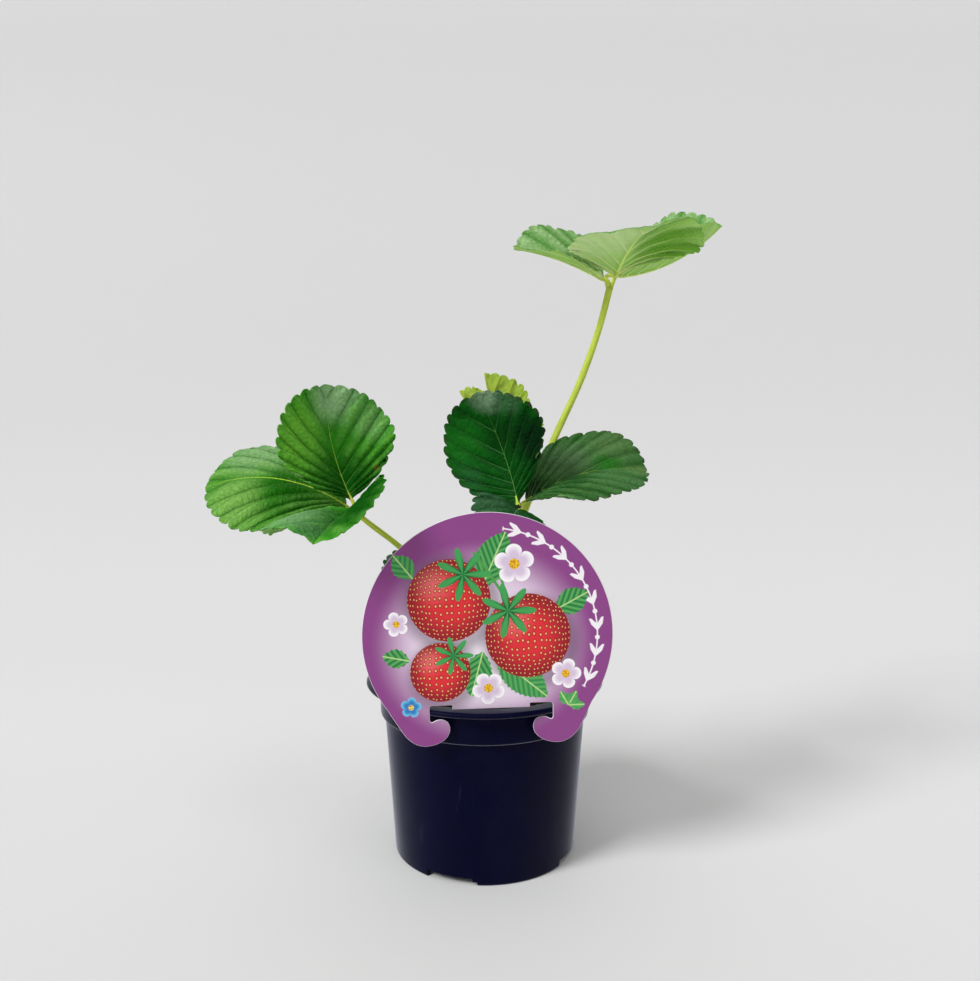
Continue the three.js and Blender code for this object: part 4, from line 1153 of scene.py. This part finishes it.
def print_material():
    """Round berries, blossoms and leaves on a pale glow, with a garland along the right of the purple rim."""
    g = Graph("label_print")
    u, v, _ = g.split(g.attribute("print"))

    def local(cx, cy, degrees=0.0):
        """The place seen from a point, along a direction and across it."""
        c, s = math.cos(math.radians(degrees)), math.sin(math.radians(degrees))
        x, y = u - cx, v - cy
        return x * c + y * s, y * c - x * s

    def inside(value, edge, soft=0.25):
        return g.fall(value, edge - soft, edge + soft)

    def petals_at(cx, cy, half_count, degrees=0.0):
        """How far from a flower's middle, and how near to the line of a petal."""
        x, y = local(cx, cy, degrees)
        return g.distance(x, y), abs(g.math("COSINE", g.math("ARCTAN2", y, x) * half_count))

    # ground: purple, with a pale glow
    x, y = local(-3, -3)
    glow = g.distance(x * 0.95, y)
    color = g.mix(g.fall(glow, 24.0, 43.0), "8B4286", "D9BFD9")

    def paint(mask, tone):
        nonlocal color
        color = g.mix(mask, color, tone)

    def shadow(cx, cy, r):
        paint(g.fall(g.distance(*local(cx + 1.2, cy - 1.6)), r - 3.0, r + 3.5) * 0.55, "4A2A48")

    def leaf(cx, cy, degrees, length, width, tone="1E7A3C"):
        x, y = local(cx, cy, degrees)
        w = x / length
        body = g.math("SINE", g.math("MAXIMUM", g.math("MINIMUM", w, 1.0), 0.0) * math.pi) ** 0.75 * width
        teeth = abs(g.math("SINE", x * 1.6)) * 0.6
        d = abs(y) - (body - teeth * g.fit(body, 0.0, 2.0))
        side_veins = g.fit(g.math("SINE", x * 2.2 + abs(y) * -2.4), -1.0, 1.0)
        green = g.mix(inside(abs(y), 0.28, 0.15), g.mix(side_veins, tone, "58A858"), "B5D88A")
        paint(inside(d, 0.0, 0.2) * (g.fit(w, 0.0, 0.02) * g.fall(w, 0.98, 1.0)), green)

    def stem(cx, cy, degrees, length, bend):
        x, y = local(cx, cy, degrees)
        w = x / length
        near = abs(y - w * (1.0 - w) * bend)
        paint(inside(near, 0.55, 0.2) * (inside(x, length, 0.3) * (1.0 - inside(x, 0.0, 0.3))), "4E9A46")

    def berry(cx, cy, r, star_x, star_y):
        x, y = local(cx, cy)
        d = g.distance(x, y)
        share = d / r
        round_up = 1.0 + share * share * 0.45
        seeds = g.cells(g.join(x * round_up + cx, y * round_up * 0.8), 0.4, feature="F1", randomness=0.4)
        body = g.mix(g.fit(share, 0.35, 1.0), "DE2A33", "8E1220")
        shine = g.distance(*local(cx - 0.35 * r, cy + 0.38 * r))
        body = g.mix(g.fall(shine, 0.0, 0.62 * r) * 0.5, body, "F58A8A")
        body = g.mix(g.fall(seeds, 0.2, 0.42) * 0.75, body, "9A1420")
        body = g.mix(g.fall(seeds, 0.1, 0.2) * 0.9, body, "F2CF7A")
        paint(inside(d, r), body)
        # the green star on top of the berry
        d, petals = petals_at(cx + star_x * r, cy + star_y * r, 3.5)
        reach = (0.16 + petals**2.2 * 0.5) * r
        paint(inside(d - reach, 0.0, 0.2), g.mix(g.fit(petals, 0.5, 1.0), "14602E", "3FA052"))

    def blossom(cx, cy, r, degrees, white="FBF8FA", shade="D8C4DC", heart="F0C020"):
        d, petals = petals_at(cx, cy, 2.5, degrees)
        reach = (0.62 + petals**0.55 * 0.38) * r
        body = g.mix(g.fit(reach - d, 0.0, 0.45 * r), white, shade)
        paint(inside(d - reach, 0.0, 0.2), g.mix(g.fall(petals, 0.0, 0.35) * 0.8, body, shade))
        pollen = g.cells(g.join(u, v), 1.1, feature="F1")
        paint(inside(d, 0.27 * r), g.mix(g.fit(pollen, 0.15, 0.5), "B87A10", heart))

    def garland(radius=43.6, pitch=14.0, first=-30.0, last=82.0, white="F4EFF4"):
        """Pairs of small leaves with dots between them on a thin stalk, repeated round the rim."""
        x, y = local(HEAD_SHIFT, 0)
        out = g.distance(x, y) - radius
        around = g.math("ARCTAN2", y, x) * (180 / math.pi)
        span = g.fit(around, first, first + 1) * g.fall(around, last - 1, last)
        leaf_at, dot_at = ((g.math("FRACT", (around - start) / pitch) - 0.5) * (pitch * math.pi / 180 * 43.5)
                           for start in (first, first + pitch / 2))
        lean = abs(out) - (leaf_at + 2.0) * 0.55
        blade = abs(lean) - (4.2 - abs(leaf_at)) * 0.28
        paint(inside(blade, 0.0, 0.2) * inside(abs(leaf_at), 2.6, 0.2) * span, white)
        paint(inside(g.distance(dot_at, out), 0.95, 0.2) * span, white)
        paint(inside(abs(out), 0.28, 0.15) * span, white)

    paint(g.fall(glow, 10.0, 34.0), "F1E8F1")
    garland()
    fresh, pale = "2C8A48", "3FA052"
    for motif, *places in (
            (shadow, (-16, 15, 19.5), (15, -1, 19), (-20, -14, 14)),
            (leaf, (-3, 20, 66, 24, 7.5), (-30, 24, 128, 12, 4.8, fresh), (-3, -6, -105, 19, 6.2),
             (2, -8, -40, 27, 7.0, fresh), (26, 10, 28, 15, 5.6), (-32, -9, 168, 11, 4.2)),
            (stem, (-6, 34, -60, 40, 5.0), (4, 27, -70, 24, -4.0)),
            (berry, (-16, 15, 16.5, 0.35, 0.62), (-20, -14, 12.0, 0.45, 0.55), (15, 0, 17.0, -0.45, 0.6)),
            (blossom, (10, 29, 8.0, 20), (-1, -21, 6.6, 50), (30, -16, 6.2, 0), (-37, 6, 5.0, 35),
             (-32, -28, 4.2, 10, "6FC4E8", "2E7CC0", "F4E070")),
            (leaf, *((31, -29, degrees, 6.5, 2.4, pale) for degrees in (60, 120, 0)))):
        for values in places:
            motif(*values)
    paint(g.noise(g.join(u, v), 2.2) * 0.02, "FFFFFF")
    return g.surface(color, 0.42, 0.15)


def label_piece():
    line = label_outline()
    bevel = 0.16
    half = LABEL_THICKNESS / 2
    small = inset(line, bevel)
    loops = [(small, -half), (line, -half + bevel), (line, half - bevel), (small, half)]
    yaw, stand, roll = (Matrix.Rotation(math.radians(a), 3, axis)
                        for a, axis in ((LABEL_YAW, "Z"), (90, "X"), (LABEL_ROLL, "Z")))
    flat = [(u, v, level) for loop, level in loops for u, v in loop]
    points = [yaw @ (stand @ roll @ Vector(p) + Vector((0, -LABEL_OFFSET, HEAD_CENTRE_Z))) for p in flat]
    n = len(line)
    edge = mottled("label_edge", 300.0, "D9CBD9", "EFE6EF", 0.5)
    back = mottled("label_back", 120.0, "EDEBED", "F4F3F4", 0.45)
    piece = make_piece("plant_label", points, ends(4, n) + bands(4, n), [print_material(), edge, back],
                       [2, 0] + [1] * (3 * n), {"print": flat}, sharp=25)
    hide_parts("label")


label_piece()
